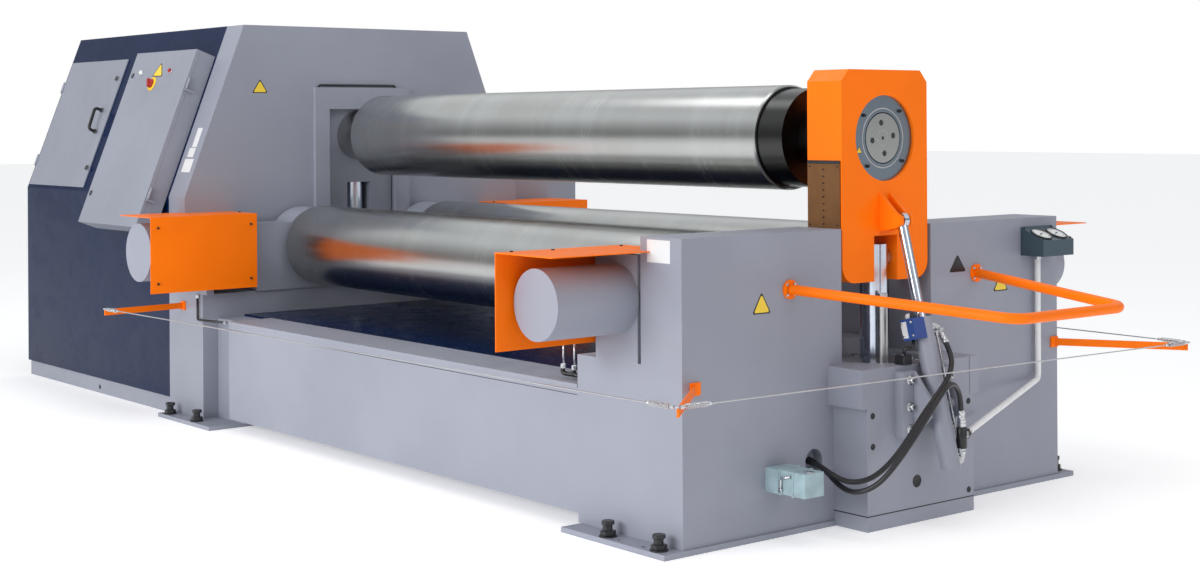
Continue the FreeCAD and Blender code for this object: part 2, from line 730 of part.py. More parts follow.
def tilt_cylinder():
    """The cylinder that swings the yoke: barrel between two bolted ears, and the rod with its eye."""
    tube = leaning("TiltTube", "tilt_barrel_radius", "-tilt_barrel_below", "tilt_barrel_above")
    bore = leaning("TiltBore", "tilt_rod_radius + running_fit",
                   "tilt_barrel_above - tilt_rod_insert - tilt_stroke", "tilt_barrel_above")
    trunnion = bar("TiltTrunnion", "trunnion_radius", "y", "-bracket_ear_half", "bracket_ear_half",
                   ("trunnion_x", "trunnion_height"))
    node("tilt_cylinder", cut("TiltCylinder", fuse("TiltSolid", tube, trunnion), bore))
    ears = []
    for sign in SIDES:
        start = "bracket_ear_half + bracket_ear_thick" if sign > 0 else "-bracket_ear_half"
        reach = "trunnion_radius * 2"
        ear = prism("BracketEar" + SIDES[sign], "XZ_Plane",
                    [("pedestal_outer", "bracket_bottom"), ("pedestal_outer + bracket_base",
                                                            "bracket_bottom"),
                     ("trunnion_x + " + reach, "trunnion_height - " + reach),
                     ("trunnion_x + " + reach, "trunnion_height + " + reach),
                     ("pedestal_outer + bracket_base", "bracket_top"), ("pedestal_outer", "bracket_top")],
                    "bracket_ear_thick", ("0", start, "0"))
        base = box("BracketBase" + SIDES[sign], ("pedestal_outer", "pedestal_outer + bracket_base"),
                   side(sign, "bracket_ear_half", "bracket_half"), ("bracket_bottom", "bracket_top"))
        ears.append(fuse("Bracket" + SIDES[sign], ear, base))
    node("tilt_bracket", group("TiltBracket", *ears))
    shaft = leaning("TiltShaft", "tilt_rod_radius", "tilt_barrel_above - tilt_rod_insert", ROD_LENGTH)
    eye = bar("TiltEye", "eye_radius", "y", "-eye_half", "eye_half", ("clevis_x", "clevis_height"))
    node("tilt_rod", fuse("TiltRod", shaft, eye))


def bed():
    for sign in SIDES:
        inner = "frame_half_depth - beam_depth"
        beam = box("Beam" + SIDES[sign], ("-drive_step_inner", "drop_box_inner"),
                   side(sign, inner, "frame_half_depth"), ("beam_bottom", "beam_top - beam_lip"))
        lip = box("Lip" + SIDES[sign], ("-drive_step_inner", "drop_box_inner"),
                  side(sign, inner, "(frame_half_depth + 3)"), ("beam_top - beam_lip", "beam_top"))
        node("bed_%s_beam" % SIDES[sign], fuse("BedBeam" + SIDES[sign], beam, lip))
    node("bed_deck", box("BedDeck", ("-drive_box_inner", "drop_box_inner"),
                         ("beam_depth - frame_half_depth", "frame_half_depth - beam_depth"),
                         ("drive_step_top", "drive_step_top + deck_thick")))


def guard(end, sign):
    """A bent sheet over a side cylinder: an upright sheet beside the roll and a top flange."""
    stem = ENDS[end] + "_guard_"
    name = "%s_%s_guard" % (SIDES[sign], ENDS[end])
    wall = "drive_plate_inner" if end < 0 else "post_inner"
    near, far = side(sign, stem + "inner", stem + "outer")
    upright = box(name + "_upright", side(end, stem + "face", "(%sface + guard_sheet)" % stem), (near, far),
                  (stem + "bottom", "guard_top"))
    inside = box(name + "_inside", side(end, stem + "face", wall), (near, far),
                 ("guard_top", "guard_top + guard_sheet"))
    outside = box(name + "_outside", side(end, stem + "face", stem + "reach"),
                  side(sign, "frame_half_depth", stem + "outer"), ("guard_top", "guard_top + guard_sheet"))
    node(name, fuse(name + "_sheet", upright, inside, outside))


def feet():
    """Foot plates under both end frames, with anchor holes and jack screws along their long edges."""
    for end in ENDS:
        stem = ENDS[end]
        plate = box("FootPlate" + stem, side(end, stem + "_foot_inner", stem + "_foot_outer"),
                    ("-foot_reach", "foot_reach"), ("0", "foot_thick"))
        if end > 0:
            tongue = box("PedestalFoot", ("drop_foot_outer", "pedestal_outer"), ("-pedestal_half",
                                                                                 "pedestal_half"),
                         ("0", "foot_thick"))
            plate = fuse("FootPlateWithTongue", plate, tongue)
        spots = ("anchor_half_x", stem + "_second_anchor")
        holes = [bar("Anchor%s%s%d" % (stem, SIDES[sign], i), "anchor_radius", "z", "0", "foot_thick",
                     (signed(end, spot), signed(sign, "anchor_half_y")))
                 for sign in SIDES for i, spot in enumerate(spots)]
        node(stem + "_foot_plate", cut("FootCut" + stem, plate, *holes))
    screws = []
    for end in ENDS:
        for sign in SIDES:
            for i, spot in enumerate((ENDS[end] + "_first_jack", ENDS[end] + "_second_jack")):
                screw = doc.addObject("Part::Prism", "Jack%s%s%d" % (ENDS[end], SIDES[sign], i))
                screw.Polygon = 6
                bind(screw, "Circumradius", "jack_radius")
                bind(screw, "Height", "jack_height - foot_thick")
                screws.append(place(screw, (signed(end, spot), signed(sign, "anchor_half_y"), "foot_thick")))
    node("jack_screws", group("JackScrews", *screws))


SLOPE_ANGLE = "atan2(housing_height - shoulder_height; frame_half_depth - top_half_depth)"
SLOPE_FOOT = ("0", "-frame_half_depth", "shoulder_height")


def on_slope(piece):
    """Lays a piece made flat, with y up the slope and z out of it, on the housing's slanted front."""
    piece.Placement = FreeCAD.Placement(FreeCAD.Vector(), FreeCAD.Rotation(FreeCAD.Vector(1, 0, 0), 1))
    bind(piece, "Placement.Rotation.Angle", SLOPE_ANGLE)
    return place(piece, SLOPE_FOOT)


def housing():
    """The closed drive housing behind the plate, its skirt, and the hollow behind the access door."""
    hull = prism("HousingHull", "YZ_Plane", frame_outline("skirt_height"), "housing_end - drive_plate_outer",
                 ("-housing_end", "0", "0"))
    hollow = box("AccessHollow", ("access_recess_margin - access_far", "-access_near - access_recess_margin"),
                 ("access_low + access_recess_margin", "access_low + access_length - access_recess_margin"),
                 ("-access_recess_depth", "access_recess_depth"))
    node("housing", cut("Housing", hull, on_slope(group("AccessHollowPlaced", hollow))))
    node("housing_skirt", box("Skirt", ("skirt_inset - housing_end", "-drive_plate_outer"),
                              ("skirt_inset - frame_half_depth", "frame_half_depth - skirt_inset"),
                              ("0", "skirt_height")))


def cabinet():
    """The electrical cabinet on the slanted front: a thin-walled box and a door that is its whole front."""
    x = ("-cabinet_near - cabinet_width", "-cabinet_near")
    low, high = "-cabinet_drop", "cabinet_length - cabinet_drop"
    front = "cabinet_proud - cabinet_door_thick - door_gap"
    shell = box("CabinetShell", x, (low, high), ("0", front))
    inside = box("CabinetInside", (x[0] + " + cabinet_wall", x[1] + " - cabinet_wall"),
                 (low + " + cabinet_wall", high + " - cabinet_wall"), ("cabinet_wall", front))
    axis = ("-cabinet_near + hinge_radius + hinge_play", "cabinet_proud - cabinet_door_thick / 2")
    pin_far = "2 * hinge_radius - cabinet_near"
    knuckles, pins, bores, leaves = [], [], [], []
    for i, spot in enumerate((low + " + cabinet_hinge_low", high + " - cabinet_hinge_high")):
        length = (spot, spot + " + hinge_length")
        arm = (spot + " - hinge_arm - hinge_play", spot + " - hinge_play")
        pins.append(bar("CabinetPin%d" % i, "hinge_radius / 2", "y", arm[0], length[1], axis))
        pins.append(box("CabinetPinFoot%d" % i, ("-cabinet_near", pin_far), arm, ("cabinet_proud / 2",
                                                                                  front)))
        pins.append(box("CabinetPinArm%d" % i, ("hinge_radius - hinge_play / 2 - hinge_play - cabinet_near",
                                                pin_far),
                        arm, (front, "cabinet_proud - 2 * hinge_play")))
        knuckles.append(bar("CabinetKnuckle%d" % i, "hinge_radius", "y", *length, axis))
        leaves.append(box("CabinetLeaf%d" % i, ("-cabinet_near", axis[0]), length,
                          (axis[1] + " - hinge_leaf / 2", axis[1] + " + hinge_leaf / 2")))
        bores.append(bar("CabinetBore%d" % i, "hinge_radius / 2 + running_fit", "y", *length, axis))
    hollow = cut("CabinetHollow", shell, inside)
    node("cabinet_box", on_slope(fuse("CabinetBox", hollow, *pins)))
    slab = box("CabinetDoorSlab", x, (low, high), ("cabinet_proud - cabinet_door_thick", "cabinet_proud"))
    node("cabinet_door", on_slope(cut("CabinetDoor", fuse("CabinetDoorSolid", slab, *knuckles, *leaves),
                                      *bores)))


def access_door():
    """The hinged cover low on the slanted front, with two hinges at its far edge."""
    high = "access_low + access_length"
    slab = box("AccessSlab", ("-access_far", "-access_near"), ("access_low", high),
               ("door_gap", "door_gap + access_thick"))
    axis = ("-access_far - hinge_radius - hinge_play / 2", "door_gap + hinge_radius")
    parts, bores, fixed = [slab], [], []
    for i, spot in enumerate(("access_low + access_hinge_low", high + " - access_hinge_high")):
        length = (spot, spot + " + hinge_length")
        arm = (spot + " - hinge_arm - hinge_play", spot + " - hinge_play")
        parts.append(bar("AccessKnuckle%d" % i, "hinge_radius", "y", *length, axis))
        parts.append(box("AccessLeaf%d" % i, (axis[0], "-access_far"), length, ("door_gap",
                                                                                "door_gap + hinge_leaf")))
        bores.append(bar("AccessBore%d" % i, "hinge_radius / 2 + running_fit", "y", *length, axis))
        pin = bar("AccessPin%d" % i, "hinge_radius / 2", "y", arm[0], length[1], axis)
        foot = box("AccessPinArm%d" % i, ("-access_far - 2 * hinge_radius", "-access_far - hinge_play"), arm,
                   ("0", "door_gap + 1.5 * hinge_radius"))
        fixed.append(fuse("AccessPinSet%d" % i, pin, foot))
    node("access_door", on_slope(cut("AccessDoor", fuse("AccessDoorSolid", *parts), *bores)))
    node("access_hinge_pins", on_slope(group("AccessPins", *fixed)))


def bent_path(points, share=0.45, bend=None):
    """Straight runs joined by tangent arcs, one at each inner point."""
    spots = [FreeCAD.Vector(*point) for point in points]
    edges, start = [], spots[0]
    for before, corner, after in zip(spots, spots[1:], spots[2:]):
        back, ahead = (before - corner).normalize(), (after - corner).normalize()
        half = (math.pi - back.getAngle(ahead)) / 2
        run = min((before - corner).Length, (after - corner).Length)
        radius = bend or share * run / math.tan(half)
        reach = radius * math.tan(half)
        inward = (back + ahead).normalize()
        middle = corner + inward * (radius / math.cos(half) - radius)
        first, last = corner + back * reach, corner + ahead * reach
        edges.append(Part.LineSegment(start, first).toShape())
        edges.append(Part.Arc(first, middle, last).toShape())
        start = last
    edges.append(Part.LineSegment(start, spots[-1]).toShape())
    return Part.Wire(edges)


def tube(name, path, radius):
    """A round tube or rod swept along a path."""
    first = path.Edges[0]
    ring = Part.makeCircle(radius, first.valueAt(first.FirstParameter), first.tangentAt(first.FirstParameter))
    solid = path.makePipeShell([Part.Wire(ring)], True, True)
    piece = doc.addObject("Part::Feature", name)
    piece.Shape = solid
    return piece


HOSES = {
    "hose_upper": [(199.25, 78.42, 709.28), (256, 74, 640), (308, 8, 576), (334, -84, 522),
                   (334, -168, 455), (320, -240, 366), (288, -300, 278), (242, -362, 214), (180, -418, 200),
                   (102, -436, 230), (26, -424, 252), (-44.7, -424, 254)],
    "hose_lower": [(310, 62, 386), (310, 62, 468), (334, 8, 530), (370, -76, 550), (392, -156, 514),
                   (392, -230, 440), (376, -294, 360), (348, -348, 280), (304, -396, 206), (230, -430, 170),
                   (142, -424, 184), (48, -400, 230), (-42.3, -392.2, 253.3)],
}


def hose_points(name):
    """A hose's route: its points are given ahead of the post's outer face."""
    return [(mm("post_outer") + ahead, side_y, z) for ahead, side_y, z in HOSES[name]]



def report_tube(name, points, radius):
    """Prints a hose's bend radii and compares its volume with its section times its length."""
    path = bent_path(points)
    bends = [edge.Curve.Radius for edge in path.Edges if hasattr(edge.Curve, "Radius")]
    volume = doc.getObject(name).Shape.Volume
    share = volume / (math.pi * radius ** 2 * path.Length)
    print("%s: %.0f mm long, bends %s, volume share %.4f" % (
        name, path.Length, " ".join("%.0f" % bend for bend in bends), share))


def hoses():
    """The two free hoses from the tilt cylinder's ports into the cable hole of the front post."""
    radius = mm("hose_radius")
    for name in HOSES:
        points = hose_points(name)
        node(name, tube(name, bent_path(points), radius))
        report_tube(name, points, radius)


def port_fittings():
    """Elbow of the upper port, and the lower port's riser with its valve and tee, each one solid."""
    lean = (mm("trunnion_x") - mm("clevis_x")) / (mm("clevis_height") - mm("trunnion_height"))
    start_y, radius = mm("tilt_barrel_radius") / 2, mm("fitting_radius")
    x, height = {}, {"upper": mm("elbow_height"), "lower": mm("lower_port_height")}
    for port in height:
        x[port] = mm("trunnion_x") - (height[port] - mm("trunnion_height")) * lean
    upper_path = bent_path([(x["upper"], start_y, height["upper"]), (x["upper"], mm("elbow_side"),
                                                                     height["upper"]),
                            hose_points("hose_upper")[0]], bend=mm("fitting_bend"))
    lower_path = bent_path([(x["lower"], start_y, height["lower"]),
                            (mm("valve_x"), mm("valve_side"), height["lower"]), hose_points("hose_lower")[0]],
                           bend=mm("fitting_bend"))
    body = bar("ValveBarrel", "valve_radius", "z", "valve_low", "valve_high", ("valve_x", "valve_side"))
    tee = tube("Tee", Part.Wire([Part.LineSegment(*tee_axis()).toShape()]), mm("tee_radius"))
    seats = [leaning("FittingSeat%d" % i, "tilt_barrel_radius", "-tilt_barrel_below", "tilt_barrel_above")
             for i in range(2)]
    upper = cut("UpperFitting", tube("UpperElbow", upper_path, radius), seats[0])
    lower = cut("LowerFitting", fuse("LowerFittingSolid", tube("LowerRiser", lower_path, radius), body, tee),
                seats[1])
    node("port_fittings", group("PortFittings", upper, lower))


def pipe_points():
    """The rigid pipe: down the post from the gauge desk, then across to the valve."""
    x, side_y = mm("post_outer") + mm("pipe_wall_gap") + mm("pipe_radius"), mm("pipe_side")
    return [(x, side_y, mm("gauge_bottom")), (x, side_y, mm("pipe_turn_height")),
            (mm("valve_x"), mm("valve_side"), mm("pipe_end_height"))]


def tee_axis():
    """From the middle of the valve towards the pipe, where the tee's sleeve ends."""
    turn, end = (FreeCAD.Vector(*point) for point in pipe_points()[1:])
    return end, end + (turn - end).normalize() * mm("tee_length")


def pressure_pipe():
    points = pipe_points()[:2] + [tuple(tee_axis()[1])]
    node("pressure_pipe", tube("PressurePipe", bent_path(points, bend=mm("pipe_bend")), mm("pipe_radius")))


def valve_block():
    """The valve block strapped to the barrel's near side, hollowed to sit on it."""
    block = doc.addObject("Part::Box", "ValveBlockSolid")
    bind(block, "Length", "2 * block_half")
    bind(block, "Width", "block_side - block_overlap")
    bind(block, "Height", "tilt_barrel_above - block_start")
    block.Placement = FreeCAD.Placement(FreeCAD.Vector(), FreeCAD.Rotation(FreeCAD.Vector(0, -1, 0), 1))
    bind(block, "Placement.Rotation.Angle", LEAN)
    place(block, ("trunnion_x - block_start * sin(%s) - block_half * cos(%s)" % (LEAN, LEAN), "-block_side",
                  "trunnion_height + block_start * cos(%s) - block_half * sin(%s)" % (LEAN, LEAN)))
    seat = leaning("ValveSeat", "tilt_barrel_radius", "-tilt_barrel_below",
                   "tilt_barrel_above + tilt_barrel_radius")
    node("valve_block", cut("ValveBlock", block, seat))


def rear_box():
    """The closed box on the rear edge of the drive plate."""
    node("rear_box", box("RearBox", ("-drive_plate_outer", "rear_box_thick - drive_plate_outer"),
                         ("frame_half_depth", "frame_half_depth + rear_box_depth"),
                         ("rear_box_bottom", "rear_box_top")))


def gauge_box():
    """The small desk on the rear post, with two dials on its sloping top."""
    profile = [("post_outer", "gauge_bottom"), ("post_outer + gauge_depth", "gauge_bottom"),
               ("post_outer + gauge_depth", "gauge_front_top"), ("post_outer", "gauge_back_top")]
    node("gauge_box", prism("GaugeDesk", "XZ_Plane", profile, "gauge_far - gauge_near", ("0", "gauge_far",
                                                                                         "0")))


def connector():
    """The round-cornered socket block low on the front post, with its hood."""
    z = ("connector_bottom", "connector_top")
    base = box("ConnectorBase", ("post_outer", "post_outer + connector_reach / 3"),
               ("-connector_far - 8", "8 - connector_near"), z)
    hood = box("ConnectorHood", ("post_outer + connector_reach / 3", "post_outer + connector_reach"),
               ("-connector_far", "-connector_near"), z)
    node("connector_box", fuse("Connector", base, hood))


def guard_rail():
    """The bent tube that keeps people out of the yoke's swing."""
    ends = [(mm("post_outer") + mm("rail_flange_thick"), sign * mm("rail_mount_half"),
             mm("rail_mount_height"))
            for sign in SIDES]
    corners = [(mm("rail_corner_x"), sign * mm("rail_corner_half"),
                mm("rail_corner_height")) for sign in SIDES]
    path = bent_path([ends[0], *corners, ends[1]], bend=mm("rail_bend"))
    flanges = [bar("RailFlange" + SIDES[sign], "rail_flange_radius", "x", "post_outer",
                   "post_outer + rail_flange_thick", (signed(sign, "rail_mount_half"), "rail_mount_height"))
               for sign in SIDES]
    node("guard_rail", fuse("Rail", tube("RailTube", path, mm("rail_radius")), *flanges))


def trip_arms():
    """Flat arms at the machine's corners that carry the trip wire, each on a small plate."""
    arms = []
    for name, (root, tip, face) in arm_places().items():
        start, end = FreeCAD.Vector(*root), FreeCAD.Vector(*tip)
        along = (end - start).normalize()
        across = FreeCAD.Vector(-along.y, along.x, 0)
        outward = FreeCAD.Vector(*face)
        half, thick = mm("arm_width") / 2, mm("arm_thick")
        inset = start + outward * thick / 2
        corner = inset - across * thick / 2 - FreeCAD.Vector(0, 0, half)
        flat = Part.makeBox((end - inset).Length, thick, 2 * half)
        flat.Placement = FreeCAD.Placement(corner, FreeCAD.Rotation(FreeCAD.Vector(1, 0, 0), along))
        foot = Part.makeBox(thick, 3 * half, 3 * half, FreeCAD.Vector(0, -1.5 * half, -1.5 * half))
        foot.Placement = FreeCAD.Placement(start, FreeCAD.Rotation(FreeCAD.Vector(1, 0, 0), outward))
        arm = doc.addObject("Part::Feature", "Arm_" + name)
        arm.Shape = flat.fuse(foot).removeSplitter()
        arms.append(arm)
    node("trip_arms", group("TripArms", *arms))


def arm_places():
    """For each corner: where the arm starts on the frame, where its tip is, and the way its face looks."""
    height, depth = mm("arm_height"), mm("frame_half_depth")
    drive_x, reach = -mm("drive_arm_x"), mm("drive_arm_reach")
    places = {}
    for sign in SIDES:
        places["drive_" + SIDES[sign]] = ((drive_x, sign * depth, height),
                                          (drive_x + mm("drive_arm_lean"), sign * reach, height), (0, sign,
                                                                                                   0))
    face = mm("post_outer")
    places["drop_front"] = ((face, -mm("arm_front_y"), height), (mm("arm_front_x"), -mm("arm_front_reach"),
                                                                 height),
                            (1, 0, 0))
    places["drop_rear"] = ((face, mm("arm_rear_y"), height), (mm("arm_rear_x"), mm("arm_rear_reach"), height),
                           (1, 0, 0))
    return places


def trip_wires():
    """The taut wires between the arm tips: along the front, across the drop end and along the rear."""
    places, gap = arm_places(), FreeCAD.Vector(0, 0, mm("arm_width") / 2 + mm("wire_radius"))
    tips = [FreeCAD.Vector(*places[name][1]) + gap
            for name in ("drive_front", "drop_front", "drop_rear", "drive_rear")]
    wires = [tube("TripWire%d" % i, Part.Wire([Part.LineSegment(start, end).toShape()]), mm("wire_radius"))
             for i, (start, end) in enumerate(zip(tips, tips[1:]))]
    node("trip_wires", fuse("TripWires", *wires))


def build():
    top_roll()
    for sign in SIDES:
        side_roll(sign)
        push_rods(sign)
        for end in ENDS:
            carriage_block(end, sign)
            push_cylinder(end, sign)
            guard(end, sign)
    drive_frame()
    drive_bearing()
    drop_frame()
    pedestal()
    yoke()
    tilt_cylinder()
    bed()
    feet()
    housing()
    cabinet()
    access_door()
    port_fittings()
    valve_block()
    hoses()
    pressure_pipe()
    rear_box()
    gauge_box()
    connector()
    guard_rail()
    trip_arms()
    trip_wires()


def check_and_write():
    """Every object and sub-part is checked before any file is written."""
    doc.recompute()
    broken = [item.Name for item in doc.Objects if "Invalid" in item.State or "Error" in item.State]
    if broken:
        raise RuntimeError("not built: " + ", ".join(broken))
    for piece in NODES:
        if piece.Shape.isNull() or not piece.Shape.isValid():
            raise RuntimeError("no valid shape: " + piece.Label)
    os.makedirs("parts", exist_ok=True)
    for piece in NODES:
        piece.Shape.exportStep("parts/%s.step" % piece.Label)
        bounds = piece.Shape.BoundBox
        print("%-22s %d solids %10.1f cm3  X %.0f..%.0f  Y %.0f..%.0f  Z %.0f..%.0f" % (
            piece.Label, len(piece.Shape.Solids), piece.Shape.Volume / 1000, bounds.XMin, bounds.XMax,
            bounds.YMin, bounds.YMax, bounds.ZMin, bounds.ZMax))


build()
check_and_write()
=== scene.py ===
"""Dresses the plate rolling machine: paints, ground and chromed metal, hoses, screws and control gear."""

import json
import math

import bmesh
import bpy
from mathutils import Matrix, Vector


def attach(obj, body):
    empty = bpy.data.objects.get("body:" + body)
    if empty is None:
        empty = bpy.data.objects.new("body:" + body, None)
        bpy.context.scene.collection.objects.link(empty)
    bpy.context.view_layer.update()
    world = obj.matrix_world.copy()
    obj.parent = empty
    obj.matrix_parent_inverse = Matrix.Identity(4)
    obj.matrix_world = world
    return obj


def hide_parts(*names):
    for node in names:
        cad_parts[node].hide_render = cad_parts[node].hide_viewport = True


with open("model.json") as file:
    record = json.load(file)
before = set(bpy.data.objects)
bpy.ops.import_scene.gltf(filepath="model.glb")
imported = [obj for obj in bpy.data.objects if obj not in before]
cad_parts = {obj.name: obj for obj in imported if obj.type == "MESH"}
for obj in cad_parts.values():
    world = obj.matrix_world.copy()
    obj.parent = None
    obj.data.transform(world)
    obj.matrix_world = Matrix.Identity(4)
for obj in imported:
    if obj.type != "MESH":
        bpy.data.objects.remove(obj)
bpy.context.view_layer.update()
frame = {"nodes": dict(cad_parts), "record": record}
NODES = frame["nodes"]


def at(*millimetres):
    """A point given in millimetres."""
    return Vector(millimetres) / 1000


class Socket:
    """A shader value that takes Python arithmetic; every operator adds one Math node."""

    def __init__(self, finish, socket):
        self.finish, self.socket = finish, socket

    def math(self, operation, other):
        return self.finish.node("Math", dict(operation=operation), {0: self, 1: other})

    def back(self, operation, other):
        return self.finish.node("Math", dict(operation=operation), {0: other, 1: self})

    def __add__(self, other):
        return self.math("ADD", other)

    def __radd__(self, other):
        return self.math("ADD", other)

    def __sub__(self, other):
        return self.math("SUBTRACT", other)

    def __rsub__(self, other):
        return self.back("SUBTRACT", other)

    def __mul__(self, other):
        return self.math("MULTIPLY", other)

    def __rmul__(self, other):
        return self.math("MULTIPLY", other)

    def above(self, edge):
        return self.math("GREATER_THAN", edge)

    def below(self, edge):
        return self.math("LESS_THAN", edge)

    def ramp(self, low, high):
        """Runs smoothly from 0 at low to 1 at high."""
        return self.finish.node("MapRange", dict(interpolation_type="SMOOTHSTEP"),
                                {0: self, 1: low, 2: high, 3: 0.0, 4: 1.0})


class Finish:
    """One material; its places are in metres in the machine's own frame."""

    def __init__(self, name):
        self.material = bpy.data.materials.new(name)
        self.material.use_nodes = True
        self.tree = self.material.node_tree
        self.tree.nodes.clear()
        self.end = self.tree.nodes.new("ShaderNodeOutputMaterial")
        self.place = self.node("TexCoord", {}, {}, "Object")

    def node(self, kind, settings, inputs, output=0):
        """Adds a node of a kind: settings first, then the values or links of its sockets."""
        made = self.tree.nodes.new("ShaderNode" + kind)
        for name, value in settings.items():
            setattr(made, name, value)
        for name, value in inputs.items():
            if isinstance(value, Socket):
                self.tree.links.new(value.socket, made.inputs[name])
            else:
                made.inputs[name].default_value = value
        return Socket(self, made.outputs[output])

    def axes(self):
        """The three coordinates of the place, each a value."""
        return [self.node("SeparateXYZ", {}, {0: self.place}, axis) for axis in "XYZ"]

    def noise(self, scale, detail=2.0, stretch=(1, 1, 1), rough=0.5):
        spread = self.node("VectorMath", dict(operation="MULTIPLY"), {0: self.place, 1: stretch})
        return self.node("TexNoise", {}, {"Vector": spread, "Scale": scale, "Detail": detail,
                                          "Roughness": rough})

    def mix(self, share, first, second):
        """A colour from first at share 0 to second at share 1."""
        return self.node("Mix", dict(data_type="RGBA"), {0: share, 6: colour(first), 7: colour(second)}, 2)

    def edges(self, radius):
        """Near 1 on outer and inner edges and 0 on flat faces."""
        rounded = self.node("Bevel", dict(samples=4), {"Radius": radius})
        flat = self.node("NewGeometry", {}, {}, "True Normal")
        alike = self.node("VectorMath", dict(operation="DOT_PRODUCT"), {0: rounded, 1: flat}, "Value")
        return (1.0 - alike).ramp(0.01, 0.2)

    def bump(self, height, depth):
        return self.node("Bump", {}, {"Height": height, "Distance": depth, "Strength": 1.0})

    def surface(self, **inputs):
        """Closes the material with one surface shader; names use _ for spaces."""
        values = {name.replace("_", " "): value for name, value in inputs.items()}
        shader = self.node("BsdfPrincipled", {}, values)
        self.tree.links.new(shader.socket, self.end.inputs[0])
        return self.material


def colour(value):
    return value if isinstance(value, Socket) else (*value, 1.0)


def shade(value, amount):
    return tuple(part * amount for part in value)


def paint(name, tone, rough=0.38, wear=0.25, sheen=0.4):
    """Sprayed machine paint: faint cloudiness, fine orange peel, dulled and lightened edges."""
    finish = Finish(name)
    cloud = finish.noise(1.6, 4.0).ramp(0.3, 0.75)
    body = finish.mix(cloud, shade(tone, 0.94), shade(tone, 1.05))
    scuff = finish.edges(0.004) * finish.noise(60.0, 3.0).ramp(0.45, 0.7) * wear
    body = finish.mix(scuff, body, shade(tone, 1.5))
    peel = finish.noise(420.0, 1.0)
    smear = finish.noise(9.0, 3.0).ramp(0.35, 0.7)
    return finish.surface(Base_Color=body, Roughness=smear * 0.1 + (rough - 0.05), Specular_IOR_Level=sheen,
                          Normal=finish.bump(peel, 0.00012))


def turned_steel(name, tone, rough, painted_shade_from=None):
    """Ground steel with fine marks running round the axis along X and faint stains; if given a start along X, the
    part from there to the journal face is painted near black as shade.
    """
    finish = Finish(name)
    marks = finish.noise(700.0, 3.0, (1.0, 0.012, 0.012), 0.7)
    bands = finish.noise(7.0, 3.0, (1.0, 0.05, 0.05))
    stain = finish.noise(3.0, 5.0).ramp(0.45, 0.8)
    body = finish.mix(bands.ramp(0.35, 0.7), shade(tone, 0.92), tone)
    body = finish.mix(stain * 0.35, body, (tone[0] * 0.86, tone[1] * 0.82, tone[2] * 0.74))
    # Painted shade: from this point along X to the journal face, the top roll's neck is painted near black in
    # place of the shadow it lies in under the drop end.
    if painted_shade_from:
        along = finish.axes()[0]
        painted_shade_band = along.above(painted_shade_from) * along.below(2.049)
        body = finish.mix(painted_shade_band, body, (0.055, 0.055, 0.055))
    return finish.surface(Base_Color=body, Metallic=1.0,
                          Roughness=marks * 0.12 + bands * 0.06 + (rough - 0.08),
                          Normal=finish.bump(marks, 0.00005))


def bare_metal(name, tone, rough, grain=350.0):
    """Chrome, bronze or plain steel with a light cloudy finish."""
    finish = Finish(name)
    cloud = finish.noise(30.0, 4.0)
    body = finish.mix(cloud.ramp(0.3, 0.7), shade(tone, 0.9), tone)
    fine = finish.noise(grain, 2.0)
    return finish.surface(Base_Color=body, Metallic=1.0, Roughness=cloud * rough * 0.5 + rough * 0.75,
                          Normal=finish.bump(fine, 0.00003))


def moulded(name, tone, rough=0.5, grain=900.0):
    """Rubber or moulded plastic with a fine matt grain."""
    finish = Finish(name)
    cloud = finish.noise(14.0, 3.0).ramp(0.3, 0.7)
    body = finish.mix(cloud, shade(tone, 0.85), shade(tone, 1.1))
    return finish.surface(Base_Color=body, Roughness=cloud * 0.12 + (rough - 0.06),
                          Normal=finish.bump(finish.noise(grain, 1.0), 0.00008))


